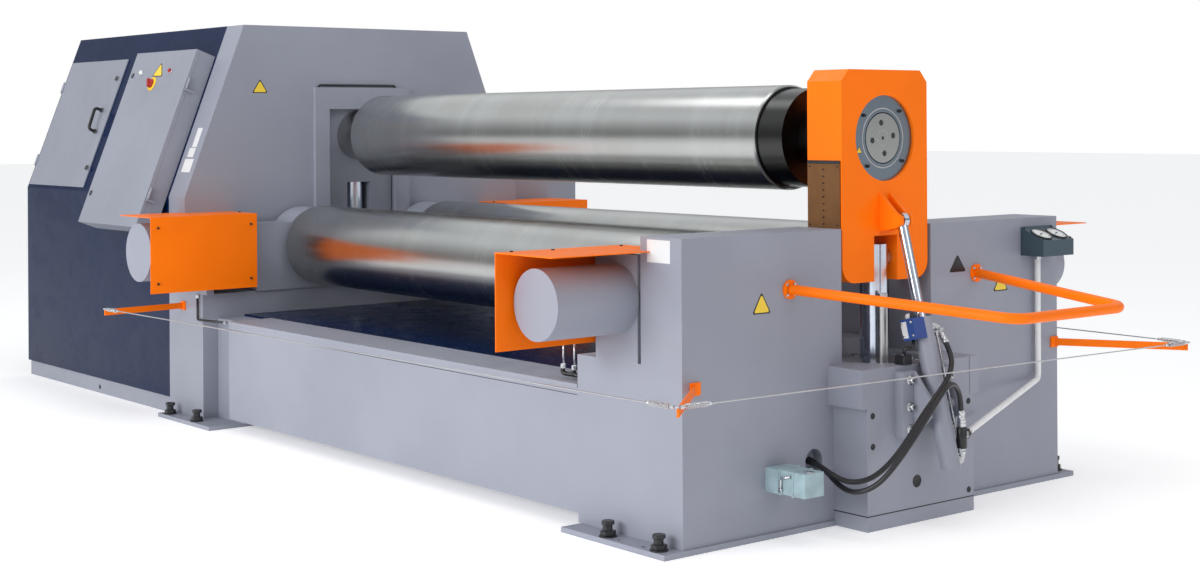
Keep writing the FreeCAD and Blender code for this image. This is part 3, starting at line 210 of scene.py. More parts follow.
class Work:
    """Gathers plates, rods and screws into one mesh; every place is in metres in the machine's frame."""

    def __init__(self):
        self.mesh = bmesh.new()

    def frame_for(self, along):
        """Two directions square to a direction."""
        along = Vector(along).normalized()
        hint = Vector((0, 0, 1)) if abs(along.z) < 0.9 else Vector((0, 1, 0))
        first = along.cross(hint).normalized()
        return along, first, along.cross(first)

    def turned(self, place, along, profile, steps=32, phase=0.0, mark=0):
        """A turned piece: profile is pairs of distance along the axis and radius, in millimetres."""
        along, first, second = self.frame_for(along)
        rings = []
        for distance, radius in profile:
            centre = Vector(place) + along * distance / 1000
            if radius == 0:
                rings.append([self.mesh.verts.new(centre)])
                continue
            ring = []
            for i in range(steps):
                angle = math.tau * (i + phase) / steps
                ring.append(self.mesh.verts.new(centre + (first * math.cos(angle) + second * math.sin(angle))
                                                * radius / 1000))
            rings.append(ring)
        for low, high in zip(rings, rings[1:]):
            for i in range(steps):
                j = (i + 1) % steps
                if len(low) == 1:
                    corners = (low[0], high[j], high[i])
                elif len(high) == 1:
                    corners = (low[i], low[j], high[0])
                else:
                    corners = (low[i], low[j], high[j], high[i])
                face = self.mesh.faces.new(corners)
                face.smooth = steps > 8
                face.material_index = mark
        return self

    def plate(self, corners, outward, thick, edge=0.0, mark=0):
        """A flat plate on a closed outline, raised by its thickness, with its upper edges broken."""
        rise = Vector(outward).normalized() * thick / 1000
        base = [self.mesh.verts.new(Vector(corner)) for corner in corners]
        top = [self.mesh.verts.new(Vector(corner) + rise) for corner in corners]
        count = len(base)
        lid = self.mesh.faces.new(top)
        floor = self.mesh.faces.new(base[::-1])
        sides = [self.mesh.faces.new((base[i], base[(i + 1) % count], top[(i + 1) % count], top[i]))
                 for i in range(count)]
        for face in [lid, floor] + sides:
            face.material_index = mark
        if edge:
            bmesh.ops.bevel(self.mesh, geom=list(lid.edges), offset=edge / 1000, segments=2, affect="EDGES",
                            profile=0.5, material=-1)
        return self

    def block(self, centre, right, up, size, edge=1.0, mark=0):
        """A block with broken edges: size is width, height and depth (towards the viewer) in millimetres."""
        right, up = Vector(right).normalized(), Vector(up).normalized()
        out = right.cross(up)
        half = [value / 2000 for value in size]
        corners = [Vector(centre) + right * half[0] * a + up * half[1] * b - out * half[2]
                   for a, b in ((-1, -1), (1, -1), (1, 1), (-1, 1))]
        return self.plate(corners, out, size[2], edge, mark)

    def hexagon_screw(self, place, outward, size, height=None, mark=0):
        """A hexagon head with a washer, for a thread of this size."""
        height = height or size * 0.65
        self.turned(place, outward, [(0, 0), (0, size), (1.6, size), (1.6, size * 0.86)], 24, mark=mark)
        return self.turned(place, outward,
                           [(1.6, size * 0.86), (height * 0.86, size * 0.86), (height, size * 0.74), (height, 0)],
                           6, mark=mark)

    def socket_screw(self, place, outward, size, mark=0):
        """A cylinder head with a hexagon socket, for a thread of this size."""
        radius = size * 0.75
        self.turned(place, outward, [(0, radius), (size * 0.85, radius), (size, radius * 0.88),
                                     (size, radius * 0.56)], 20, mark=mark)
        return self.turned(place, outward,
                           [(size, radius * 0.56), (size * 0.45, radius * 0.5), (size * 0.4, 0)], 6, mark=mark)

    def bent_bar(self, points, radius, steps=12, turn=6, mark=0):
        """A round bar through points in millimetres with rounded corners."""
        line = rounded_line(points, radius * 2.2, turn)
        rings = []
        last = None
        for i, point in enumerate(line):
            ahead = (line[min(i + 1, len(line) - 1)] - line[max(i - 1, 0)]).normalized()
            if last is None:
                ahead, first, second = self.frame_for(ahead)
            else:
                first = (last - ahead * last.dot(ahead)).normalized()
                second = ahead.cross(first)
            last = first
            ring = []
            for k in range(steps):
                angle = math.tau * k / steps
                away = first * math.cos(angle) + second * math.sin(angle)
                ring.append(self.mesh.verts.new(point + away * radius / 1000))
            rings.append(ring)
        for low, high in zip(rings, rings[1:]):
            for k in range(steps):
                face = self.mesh.faces.new((low[k], low[(k + 1) % steps], high[(k + 1) % steps], high[k]))
                face.smooth, face.material_index = True, mark
        for ring in (rings[0][::-1], rings[-1]):
            self.mesh.faces.new(ring).material_index = mark
        return self

    def coil(self, place, along, length, radius, wire, turns, mark=0):
        """A coil spring of round wire; sizes in millimetres."""
        along, first, second = self.frame_for(along)
        steps = turns * 14
        points = []
        for i in range(steps + 1):
            angle = math.tau * turns * i / steps
            points.append((Vector(place) + along * length * i / steps / 1000
                           + (first * math.cos(angle) + second * math.sin(angle)) * radius / 1000) * 1000)
        return self.bent_bar(points, wire, 8, 1, mark)

    def sign(self, corners, outward, mark):
        """A blank three-cornered sign: a dark rounded border and a plain field on it."""
        outward = Vector(outward).normalized()
        middle = sum(corners, Vector()) / 3
        for share, lift, finish in ((1.0, 0.0, 2), (0.82, 0.0006, mark)):
            outline = []
            for i, corner in enumerate(corners):
                before, after = corners[i - 1], corners[(i + 1) % 3]
                for pull in (before, after):
                    eased = corner + (pull - corner) * 0.08
                    outline.append(middle + (eased - middle) * share + outward * lift)
            self.plate(outline, outward, 0.7, 0, finish)
        return self

    def piece(self, name, body, slot, *finishes):
        """Closes the mesh as one piece on a body."""
        bmesh.ops.recalc_face_normals(self.mesh, faces=self.mesh.faces)
        data = bpy.data.meshes.new(name)
        self.mesh.to_mesh(data)
        self.mesh.free()
        for finish in finishes:
            data.materials.append(finish)
        made = bpy.data.objects.new(name, data)
        bpy.context.scene.collection.objects.link(made)
        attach(made, body)
        return made


def rounded_line(points, bend, turn):
    """Points in millimetres joined by straight lines with rounded corners, in metres."""
    spots = [at(*point) for point in points]
    line = [spots[0]]
    for before, corner, after in zip(spots, spots[1:], spots[2:]):
        back, ahead = (before - corner), (after - corner)
        reach = min(bend / 1000, back.length * 0.45, ahead.length * 0.45)
        start, end = corner + back.normalized() * reach, corner + ahead.normalized() * reach
        for i in range(turn + 1):
            t = i / turn
            line.append(start * (1 - t) ** 2 + corner * 2 * t * (1 - t) + end * t ** 2)
    return line + [spots[-1]]


GREY = (0.285, 0.30, 0.36)
GREY_PAINT = paint("frame_grey", GREY)
NAVY_PAINT = paint("housing_navy", (0.0008, 0.010, 0.048), 0.25, 0.1, 0.12)
ORANGE_PAINT = paint("safety_orange", (1.0, 0.185, 0.002), 0.4, 0.2, 0.15)
CABINET_PAINT = paint("cabinet_grey", (0.27, 0.285, 0.34), 0.42)
DESK_PAINT = paint("desk_slate", (0.045, 0.075, 0.10), 0.35)
ROLL_STEEL = turned_steel("ground_roll", (0.50, 0.51, 0.50), 0.24)
# The top roll's steel carries painted shade: near black from 1.556 m along X, where its neck lies in the drop
# end's shadow.
TOP_ROLL_STEEL = turned_steel("ground_top_roll", (0.50, 0.51, 0.50), 0.24, 1.556)
RING_STEEL = turned_steel("bearing_ring_steel", (0.24, 0.29, 0.34), 0.34)
PLAIN_STEEL = bare_metal("plain_steel", (0.56, 0.57, 0.58), 0.34)
CHROME = bare_metal("hard_chrome", (0.64, 0.70, 0.80), 0.16)
BRONZE = bare_metal("worn_bronze", (0.20, 0.10, 0.045), 0.5)
RUBBER = moulded("hose_rubber", (0.012, 0.012, 0.014), 0.45)
SOCKET = moulded("socket_shell", (0.33, 0.45, 0.49), 0.45)
HOSE_COVER = moulded("ribbed_hose_cover", (0.010, 0.010, 0.013), 0.38, 500.0)
PLATED = bare_metal("zinc_plating", (0.62, 0.64, 0.66), 0.26)
BLACKED = moulded("blackened_fittings", (0.013, 0.014, 0.016), 0.35)
PALE_SHEET = paint("pale_sheet", (0.72, 0.73, 0.74), 0.4, 0.05)
DARK_HOLE = moulded("hole_shadow", (0.020, 0.021, 0.024), 0.6)
SIGN_YELLOW = paint("sign_yellow", (0.85, 0.60, 0.05), 0.4, 0.05)
SWITCH_YELLOW = moulded("switch_yellow", (0.80, 0.52, 0.02), 0.4)
SWITCH_RED = moulded("switch_red", (0.35, 0.012, 0.010), 0.35)
LAMP_WHITE = moulded("lamp_lens", (0.80, 0.80, 0.78), 0.2)
DIAL_FACE = moulded("dial_face", (0.75, 0.76, 0.76), 0.3)
BLUE_PAINT = paint("valve_blue", (0.030, 0.075, 0.27), 0.35)
WHITE_PAINT = paint("pipe_white", (0.78, 0.79, 0.80), 0.3, 0.1)
BY_SLOT = {"grey_paint": GREY_PAINT, "navy_paint": NAVY_PAINT, "orange_paint": ORANGE_PAINT,
           "ground_steel": PLAIN_STEEL, "chrome": CHROME, "bearing_bronze": BRONZE, "hose_rubber": RUBBER,
           "socket_plastic": SOCKET, "cabinet_paint": CABINET_PAINT, "blue_paint": BLUE_PAINT,
           "white_paint": WHITE_PAINT}
BY_NODE = {"gauge_box": DESK_PAINT, "jack_screws": BLACKED, "drive_guide_bars": GREY_PAINT,
           "top_roll": TOP_ROLL_STEEL,
           "yoke_bearing_ring": RING_STEEL, "front_roll": ROLL_STEEL, "rear_roll": ROLL_STEEL}


def dress_nodes():
    """Gives every carried-over solid its finish."""
    for part in frame["record"]["subparts"]:
        name = part["node"]
        chosen = BY_NODE.get(name) or BY_SLOT[part["material_slot"]]
        for slot in NODES[name].material_slots:
            slot.material = chosen


CAMERA_PLACE = (6.753, -5.205, 1.525)
CAMERA_TURN, CAMERA_LEAN = 51.065, -0.327


def camera():
    """Stands where the picture was taken from."""
    turn, lean = math.radians(CAMERA_TURN), math.radians(CAMERA_LEAN)
    right = Vector((math.cos(turn), math.sin(turn), 0))
    ahead = Vector((-math.sin(turn), math.cos(turn), 0))
    up = Vector((0, 0, 1))
    across = right * math.cos(lean) + up * math.sin(lean)
    above = up * math.cos(lean) - right * math.sin(lean)
    data = bpy.data.cameras.new("picture_camera")
    data.sensor_width, data.lens, data.shift_y = 36, 53.69, -0.1425
    data.clip_end = 200
    held = bpy.data.objects.new("picture_camera", data)
    bpy.context.scene.collection.objects.link(held)
    facing = Matrix((across, above, -ahead)).transposed().to_4x4()
    held.matrix_world = Matrix.Translation(CAMERA_PLACE) @ facing
    bpy.context.scene.camera = held


FLOOR_REACH = 60
LAMPS = [("front_key", (0.8, -10.0, 3.2), (0.3, 0, 0.8), (6, 3), 560),
         ("overhead", (0.0, -0.5, 6.5), (0, 0, 0), (9, 2.0), 120),
         ("right_fill", (9.5, 1.0, 3.0), (1.5, 0, 0.8), (3, 3), 45)]
AIR_GLOW = [(0.0, 0.30), (0.50, 0.30), (0.56, 0.26), (0.66, 0.62), (0.74, 1.0), (0.84, 0.75), (1.0, 0.45)]


def softbox(name, place, aim, size, power):
    data = bpy.data.lights.new(name, "AREA")
    data.shape, data.size, data.size_y = "RECTANGLE", *size
    data.energy = power
    lamp = bpy.data.objects.new(name, data)
    bpy.context.scene.collection.objects.link(lamp)
    lamp.location = place
    lamp.rotation_euler = (Vector(aim) - Vector(place)).to_track_quat("-Z", "Y").to_euler()


def studio():
    """A pale floor under soft light from above and from the camera's side."""
    floor_mesh = bpy.data.meshes.new("studio_floor")
    corners = [(x * FLOOR_REACH, y * FLOOR_REACH, 0) for x, y in ((-1, -1), (1, -1), (1, 1), (-1, 1))]
    floor_mesh.from_pydata(corners, [], [range(4)])
    floor = bpy.data.objects.new("studio_floor", floor_mesh)
    bpy.context.scene.collection.objects.link(floor)
    pale = Finish("pale_floor")
    floor_mesh.materials.append(pale.surface(
        Base_Color=(0.88, 0.88, 0.885, 1), Roughness=0.8, Specular_IOR_Level=0.1,
        Emission_Color=(1, 1, 1, 1), Emission_Strength=0.32))
    studio_air()
    for name, place, aim, size, power in LAMPS:
        softbox(name, place, aim, size, power)


def studio_air():
    """Soft air light, brightest from mid height; the camera itself sees plain white."""
    world = bpy.data.worlds.new("studio_air")
    bpy.context.scene.world = world
    world.use_nodes = True
    tree = world.node_tree
    glow = tree.nodes["Background"]
    place = tree.nodes.new("ShaderNodeTexCoord")
    split = tree.nodes.new("ShaderNodeSeparateXYZ")
    ramp = tree.nodes.new("ShaderNodeValToRGB")
    while len(ramp.color_ramp.elements) < len(AIR_GLOW):
        ramp.color_ramp.elements.new(0.5)
    for element, (spot, value) in zip(ramp.color_ramp.elements, AIR_GLOW):
        element.position, element.color = spot, (value * 0.96, value * 0.98, value, 1)
    half = tree.nodes.new("ShaderNodeMath")
    half.operation = "MULTIPLY_ADD"
    half.inputs[1].default_value, half.inputs[2].default_value = 0.5, 0.5
    ray = tree.nodes.new("ShaderNodeLightPath")
    seen = tree.nodes.new("ShaderNodeMix")
    seen.data_type = "RGBA"
    seen.inputs[7].default_value = (1, 1, 1, 1)
    tree.links.new(place.outputs["Generated"], split.inputs[0])
    tree.links.new(split.outputs["Z"], half.inputs[0])
    tree.links.new(half.outputs[0], ramp.inputs[0])
    tree.links.new(ray.outputs["Is Camera Ray"], seen.inputs[0])
    tree.links.new(ramp.outputs[0], seen.inputs[6])
    tree.links.new(seen.outputs[2], glow.inputs["Color"])
    bpy.context.scene.view_settings.view_transform = "Standard"



HALF_DEPTH, SKIRT_SIDE = 1060, 1048
DRIVE_FACE, GUARD_FACE, POST_FACE, PEDESTAL_FACE = -1800, -1520, 2070, 2240
JOURNAL_FACE, ROLL_HEIGHT = 2052, 1451
DOOR_OUT, ACCESS_OUT = 112, 17
GUARD_TOP, FOOT_TOP, WIRE_HEIGHT = 1058, 20, 597.5
TRUNNION_X, TRUNNION_HEIGHT = 2322, 451
SLOPE_FOOT = 1138
SLOPE = math.atan2(905, 345)
UPHILL = Vector((0, math.cos(SLOPE), math.sin(SLOPE)))
OFF_SLOPE = Vector((0, -math.sin(SLOPE), math.cos(SLOPE)))
LEAN = math.atan2(177, 686)
BARREL_UP = Vector((-math.sin(LEAN), 0, math.cos(LEAN)))
BARREL_ACROSS = Vector((math.cos(LEAN), 0, math.sin(LEAN)))
X, Y, Z = Vector((1, 0, 0)), Vector((0, 1, 0)), Vector((0, 0, 1))
HANDS = (-1, 1)


def on_slope(x, up, out):
    """A point of the housing's slanted front: across, up the slope and out from it, in millimetres."""
    return at(x, -HALF_DEPTH, SLOPE_FOOT) + (UPHILL * up + OFF_SLOPE * out) / 1000


def by_barrel(up, across, side):
    """A point in the tilt cylinder's own directions, in millimetres from its trunnion."""
    return at(TRUNNION_X, side, TRUNNION_HEIGHT) + (BARREL_UP * up + BARREL_ACROSS * across) / 1000


def chamfered(end, full, height, chamfer=2):
    """The profile of a nut or bar with both edges broken: its radius at the ends and between them."""
    return [(0, 0), (0, end), (chamfer, full), (height - chamfer, full), (height, end), (height, 0)]


def collar(radius, height, top=None):
    """The profile of a plain collar; top is the smaller radius of its last millimetre."""
    if top is None:
        return [(0, 0), (0, radius), (height, radius), (height, 0)]
    return [(0, 0), (0, radius), (height, radius), (height + 1, top), (height + 1, 0)]


HOSES = {
    "hose_upper": ([(2269.25, 78.42, 709.28), (2326, 74, 640), (2378, 8, 576), (2404, -84, 522),
                    (2404, -168, 455), (2390, -240, 366), (2358, -300, 278), (2312, -362, 214),
                    (2250, -418, 200),
                    (2172, -436, 230), (2096, -424, 252), (2025.3, -424, 254)], 1.048),
    "hose_lower": ([(2380, 62, 386), (2380, 62, 468), (2404, 8, 530), (2440, -76, 550), (2462, -156, 514),
                    (2462, -230, 440), (2446, -294, 360), (2418, -348, 280), (2374, -396, 206),
                    (2300, -430, 170),
                    (2212, -424, 184), (2118, -400, 230), (2027.7, -392.2, 253.3)], 1.121),
}
HOSE_DIAMETER = 0.02
CRIMPS = [(-15, 0), (-15, 12.6), (-4, 12.6), (-4, 11.4), (0, 11.4), (0, 13.6), (9, 13.6), (10, 12.7),
          (13, 12.7),
          (14, 13.6), (23, 13.6), (24, 12.7), (27, 12.7), (28, 13.6), (42, 13.6), (46, 11.6), (46, 10.1)]
UNION_BACK = 0.017


def hydraulic_hoses():
    """The two rubber hoses of the tilt cylinder, each with its crimped end."""
    for name, (points, length) in HOSES.items():
        line = bpy.data.curves.new(name + "_line", "CURVE")
        line.dimensions, line.bevel_depth, line.bevel_resolution = "3D", HOSE_DIAMETER / 2, 5
        line.resolution_u, line.use_fill_caps = 14, True
        run = line.splines.new("NURBS")
        run.points.add(len(points) - 1)
        for spot, point in zip(run.points, points):
            spot.co = (*at(*point), 1)
        run.order_u, run.use_endpoint_u = 3, True
        line.materials.append(HOSE_COVER)
        hose = bpy.data.objects.new(name + "_line", line)
        bpy.context.scene.collection.objects.link(hose)
        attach(hose, "machine_frame")
        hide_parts(name)
        start, ahead = at(*points[0]), at(*points[1]) - at(*points[0])
        ferrule = Work()
        ferrule.turned(start, ahead, CRIMPS, 32)
        ferrule.turned(start - ahead.normalized() * UNION_BACK, ahead, chamfered(16, 17.5, 14), 6)
        end = ferrule.piece(name + "_ferrule", "machine_frame", "chrome", PLATED)


UPPER_PORT, LOWER_PORT = at(2249, 38, 734), at(2375, 38, 245)
UPPER_HOSE_START, UPPER_HOSE_WAY = at(2257, 80, 724), (56.75, -4.4, -69.3)
VALVE_X, VALVE_SIDE = 2380, 62
TEE_MIDDLE, PIPE_TURN, PIPE_TOP = at(2380, 62, 330), at(2092, 902, 440), at(2092, 902, 953)
TEE_WAY = (PIPE_TURN - TEE_MIDDLE).normalized()
SENSING_PIPE = [(270, 12, 36), (270, 20, 46), (-190, 20, 46), (-190, 12, 36)]


def union_nuts():
    """Nuts and collars where the fittings join the tilt cylinder, the valve and the rigid pipe."""
    nuts = Work()
    for port in (UPPER_PORT, LOWER_PORT):
        nuts.turned(port - Y * 0.001, Y, collar(21, 3, 18), 32)
        nuts.turned(port + Y * 0.004, Y, chamfered(15, 17, 13), 6)
        nuts.turned(port + Y * 0.019, Y, collar(14.5, 7, 13.6), 24)
    for low in (266, 372, 384):
        nuts.turned(at(VALVE_X, VALVE_SIDE, low), Z, chamfered(15, 17, 13), 6)
    nuts.turned(at(VALVE_X, VALVE_SIDE, 280), Z, collar(14.5, 12), 24)
    nuts.turned(UPPER_HOSE_START, UPPER_HOSE_WAY, collar(14.4, 9), 24)
    nuts.turned(TEE_MIDDLE + TEE_WAY * 0.062, TEE_WAY, [(0, 0), (0, 15), (12, 15), (14, 13.4), (14, 0)], 24)
    nuts.turned(PIPE_TOP, -Z, chamfered(15, 17, 17), 6)
    nuts.piece("port_union_nuts", "machine_frame", "chrome", PLATED)


def inline_valve():
    """The black valve on the lower riser and the nut of its tee."""
    valve = Work()
    valve.turned(at(VALVE_X, VALVE_SIDE, 289), Z, chamfered(19, 21, 78), 32)
    valve.turned(TEE_MIDDLE + TEE_WAY * 0.022, TEE_WAY,
                 [(0, 0), (0, 17), (20, 17), (21, 19.5), (36, 19.5), (38, 17.5), (38, 0)], 6)
    valve.piece("inline_valve_body", "machine_frame", "hose_rubber", BLACKED)


def sensing_pipe():
    """The thin steel pipe that runs down the barrel between its two ports."""
    pipe = Work()
    pipe.bent_bar([by_barrel(*point) * 1000 for point in SENSING_PIPE], 4.5)
    for up in (-184, 264):
        pipe.turned(by_barrel(up, 20, 46), BARREL_UP, [(-9, 0), (-9, 8), (9, 8), (9, 0)], 6)
    pipe.piece("sensing_pipe", "machine_frame", "chrome", PLATED)


def load_valve():
    """The cover, screws, plugs and lead of the blue valve block, and the junction block below it."""
    black, pale, plated = range(3)
    block = Work()
    block.block(by_barrel(291, -16, -86.5), BARREL_ACROSS, BARREL_UP, (26, 62, 3), 0.6, pale)
    for up in (266, 316):
        for across in (-22, 22):
            block.socket_screw(by_barrel(up, across, -85), -Y, 7, plated)
    for across, mark in ((-14, pale), (10, black)):
        block.turned(by_barrel(331, across, -54), BARREL_UP,
                     [(0, 0), (0, 11), (3, 12), (13, 12), (15, 10), (20, 7), (20, 0)], 20, mark=mark)
    block.bent_bar([by_barrel(251, -8, -58) * 1000, by_barrel(215, -10, -66) * 1000, (2232, -84, 664),
                    (2226, -85, 636)], 7)
    block.block(at(2224, -85, 618), X, Z, (48, 36, 44), 3)
    block.hexagon_screw(at(2224, -85, 636), Z, 9, mark=plated)
    block.piece("load_valve_parts", "machine_frame", "hose_rubber", BLACKED, PALE_SHEET, PLATED)


def jack_nuts():
    """The washer, lock nut and head of each jack screw in the foot plates."""
    jacks = Work()
    for x in (-1859, -1556, 1727, 2009):
        for side in (-1118, 1118):
            jacks.turned(at(x, side, FOOT_TOP), Z, collar(34, 3, 33), 32)
            jacks.turned(at(x, side, 24), Z, chamfered(27, 29, 18), 6)
            jacks.turned(at(x, side, 62), Z, chamfered(22, 24, 16), 6)
    jacks.piece("jack_nuts", "machine_frame", "ground_steel", BLACKED)


def frame_bolts():
    """The screws of the lift gland, the tilt bracket and the rail's flanges."""
    bolts = Work()
    for i in range(12):
        angle = math.tau * (i + 0.35) / 12
        bolts.hexagon_screw(at(2000 + 160 * math.cos(angle), 160 * math.sin(angle), 584), Z, 15)
    for side in (-110, 110):
        for height in (549, 449, 365):
            bolts.turned(at(2280, side, height), X, collar(19, 3), 24)
            bolts.socket_screw(at(2283, side, height), X, 16)
    for side in (-530, 530):
        for i in range(4):
            angle = math.tau * (i + 0.5) / 4
            bolts.hexagon_screw(at(2078, side + 27 * math.cos(angle), 900 + 27 * math.sin(angle)), X, 6)
    bolts.piece("frame_bolts", "machine_frame", "ground_steel", PLATED)


def guard_screws():
    """The screws of the bent guards over the side cylinders."""
    small = Work()
    for hand in HANDS:
        for height in (1004, 727):
            for reach in (829, 1340):
                small.socket_screw(at(GUARD_FACE, hand * reach, height), X, 8)
        for x, reach in ((-1852, 812), (-1675, 812), (1620, 960), (1620, 1280), (1585, 1440)):
            small.hexagon_screw(at(x, hand * reach, GUARD_TOP), Z, 7)
    small.piece("guard_screws", "machine_frame", "ground_steel", BLACKED)


def hole_rims():
    """The rims of the tapped and plain holes in the pedestal and in the housing's skirt."""
    plugs = Work()
    for side, height in ((-272, 427), (-272, 313), (-272, 202), (272, 428), (272, 84)):
        plugs.turned(at(PEDESTAL_FACE, side, height), X,
                     [(0, 0), (0, 9.5), (0.7, 9.5), (0.7, 12), (1.2, 11.6), (1.2, 8.6), (0.8, 8.4), (0.8, 0)],
                     28)
    plugs.turned(at(PEDESTAL_FACE, -29, 156), X,
                 [(0, 0), (0, 24), (1.2, 23.4), (1.2, 21), (0.5, 20.6), (0.5, 0)], 40)
    plugs.turned(at(-2908, -SKIRT_SIDE, 34), -Y,
                 [(0, 0), (0, 13), (1, 12.5), (1, 9), (0.5, 8.6), (0.5, 0)], 28)
    plugs.piece("pedestal_hole_rims", "machine_frame", "grey_paint", DARK_HOLE)


def joint_lines():
    """The dark lines where the pedestal, bed, skirt and guide cap meet what carries them."""
    seams = Work()
    seams.block(at(2240.2, 0, 57), Y, Z, (604, 4, 0.8), 0)
    for hand in HANDS:
        seams.block(at(2155, hand * 302.2, 57), X * -hand, Z, (170, 4, 0.8), 0)
        seams.block(at(80, hand * 1060.2, 497.5), X * -hand, Z, (2796, 2.5, 0.6), 0)
        seams.block(at(-2962, hand * 1048.4, 85), X * -hand, Z, (1950, 3, 0.8), 0)
    seams.block(at(-1799.8, 0, 1598), Y, Z, (424, 3, 0.8), 0)
    seams.piece("joint_shadow_lines", "machine_frame", "grey_paint", DARK_HOLE)


def journal_details():
    """Tapped holes, centre and turned lines on the end of the top roll's journal."""
    holes = Work()
    for i in range(4):
        angle = math.radians(8.5 + 90 * i)
        holes.turned(at(JOURNAL_FACE, 60 * math.cos(angle), ROLL_HEIGHT + 60 * math.sin(angle)), X,
                     [(0, 0), (0, 11.5), (0.8, 11), (0.8, 9.2), (0.4, 8.8), (0.4, 0)], 28)
    centre = at(JOURNAL_FACE, 0, ROLL_HEIGHT)
    holes.turned(centre, X, [(0, 0), (0, 7), (0.6, 6.6), (0.6, 0)], 24)
    holes.piece("journal_tapped_holes", "top_roll", "ground_steel", DARK_HOLE)
    groove = Work()
    groove.turned(centre, X, [(0, 113), (0.8, 113), (0.8, 117), (0, 117)], 96)
    groove.turned(centre, X, [(0, 29), (0.5, 29), (0.5, 30.2), (0, 30.2)], 64)
    groove.piece("journal_face_lines", "top_roll", "ground_steel", PLAIN_STEEL)


def yoke_screws():
    """The screws of the bearing ring and wear plates, and the dark strip above each wear plate."""
    screws = Work()
    for degrees in (48, 141, 230, -40):
        angle = math.radians(degrees)
        screws.socket_screw(at(JOURNAL_FACE, 140 * math.cos(angle), ROLL_HEIGHT + 140 * math.sin(angle)), X,
                            9)
    for hand in HANDS:
        for x, height in ([(1974, 1125 + 26 * i) for i in range(9)]
                          + [(x, z) for x in (1902, 2046) for z in (1122, 1345)]):
            screws.socket_screw(at(x, hand * 249, height), Y * hand, 4)
        screws.block(at(1974, hand * 250, 1361), X * -hand, Z, (168, 12, 2), 0.6)
    screws.piece("bearing_ring_screws", "drop_end", "ground_steel", BLACKED)


LOCK = [(0, 0), (0, 15), (2, 15), (4, 13), (4, 9.5), (1.5, 9), (1.5, 0)]


def lock(work, place, plated):
    """A quarter-turn lock with its key bar."""
    work.turned(place, OFF_SLOPE, LOCK, 28)
    work.block(place + OFF_SLOPE * 0.002, X, UPHILL, (3, 15, 2.5), 0.4, plated)


def cabinet_fittings():
    """Locks, lamps and the main switch on the control cabinet's door."""
    plated, yellow, red, white = range(1, 5)
    fittings = Work()
    for x, up in ((-2704, 655), (-2711, -40)):
        lock(fittings, on_slope(x, up, DOOR_OUT), plated)
    switch = (-2417, 601)
    fittings.turned(on_slope(*switch, DOOR_OUT), OFF_SLOPE, [(0, 0), (0, 41), (3, 41), (5, 39), (5, 0)], 48,
                    mark=yellow)
    fittings.turned(on_slope(*switch, DOOR_OUT + 5), OFF_SLOPE,
                    [(0, 0), (0, 26), (8, 25), (14, 22), (15, 20), (15, 0)], 40, mark=red)
    fittings.block(on_slope(*switch, DOOR_OUT + 25), X * 0.8 + UPHILL * 0.6, UPHILL * 0.8 - X * 0.6,
                   (15, 52, 14), 3,
                   red)
    for x, up, mark in ((-2598, 670, white), (-2235, 672, red)):
        place = on_slope(x, up, DOOR_OUT)
        fittings.turned(place, OFF_SLOPE, [(0, 0), (0, 15), (3, 15), (5, 13.5), (5, 0)], 32, mark=plated)
        fittings.turned(place + OFF_SLOPE * 0.005, OFF_SLOPE,
                        [(0, 12), (6, 12), (10, 10), (12, 6), (12.6, 0)], 32, mark=mark)
    fittings.piece("cabinet_door_fittings", "cabinet_door", "hose_rubber", BLACKED, PLATED, SWITCH_YELLOW,
                   SWITCH_RED, LAMP_WHITE)


def access_fittings():
    """The bow handle and the locks of the access door."""
    fittings = Work()
    foot, head = on_slope(-3190, 358, ACCESS_OUT), on_slope(-3205, 490, ACCESS_OUT)
    rise = OFF_SLOPE * 0.042
    fittings.bent_bar([spot * 1000 for spot in (foot, foot + rise, head + rise, head)], 9, 14, 8)
    for place in (foot, head):
        fittings.turned(place, OFF_SLOPE, [(0, 0), (0, 15), (4, 15), (7, 11), (7, 0)], 28)
    for x, up in ((-3154, 688), (-3130, 136)):
        lock(fittings, on_slope(x, up, ACCESS_OUT), 1)
    fittings.piece("access_door_fittings", "access_door", "hose_rubber", BLACKED, PLATED)


def gauges():
    """Two pressure gauges with plain scales on the desk's sloping top."""
    down = Vector((116, 0, -52)).normalized()
    out = Vector((52, 0, 116)).normalized()
    rim, face, ink = range(3)
    dials = Work()
    for side in (868, 968):
        centre = at(POST_FACE, side, 1073) + down * 0.074
        dials.turned(centre, out, [(0, 0), (0, 47), (4, 47), (6, 45), (6, 41), (3.6, 40.4)], 64, mark=rim)
        dials.turned(centre + out * 0.0034, out, [(0, 41), (0.2, 0)], 64, mark=face)
        for i in range(21):
            turn = math.radians(225 - 270 * i / 20)
            ray = Y * math.cos(turn) - down * math.sin(turn)
            stroke = 8 if i % 5 == 0 else 4.5
            dials.block(centre + out * 0.0038 + ray * (0.036 - stroke / 2000), out.cross(ray), ray,
                        (1.1, stroke, 0.4), 0, ink)
        pointer = Y * math.cos(math.radians(205)) - down * math.sin(math.radians(205))
        dials.block(centre + out * 0.0046 + pointer * 0.012, out.cross(pointer), pointer, (1.6, 40, 0.6),
                    0.1, ink)
        dials.turned(centre + out * 0.004, out, [(0, 0), (0, 4), (2, 3.4), (2, 0)], 24, mark=ink)
    for side in (829, 1010):
        for drop in (0.012, 0.116):
            dials.socket_screw(at(POST_FACE, side, 1073) + down * drop, out, 5, rim)
    dials.piece("pressure_gauges", "machine_frame", "ground_steel", BLACKED, DIAL_FACE, BLACKED)


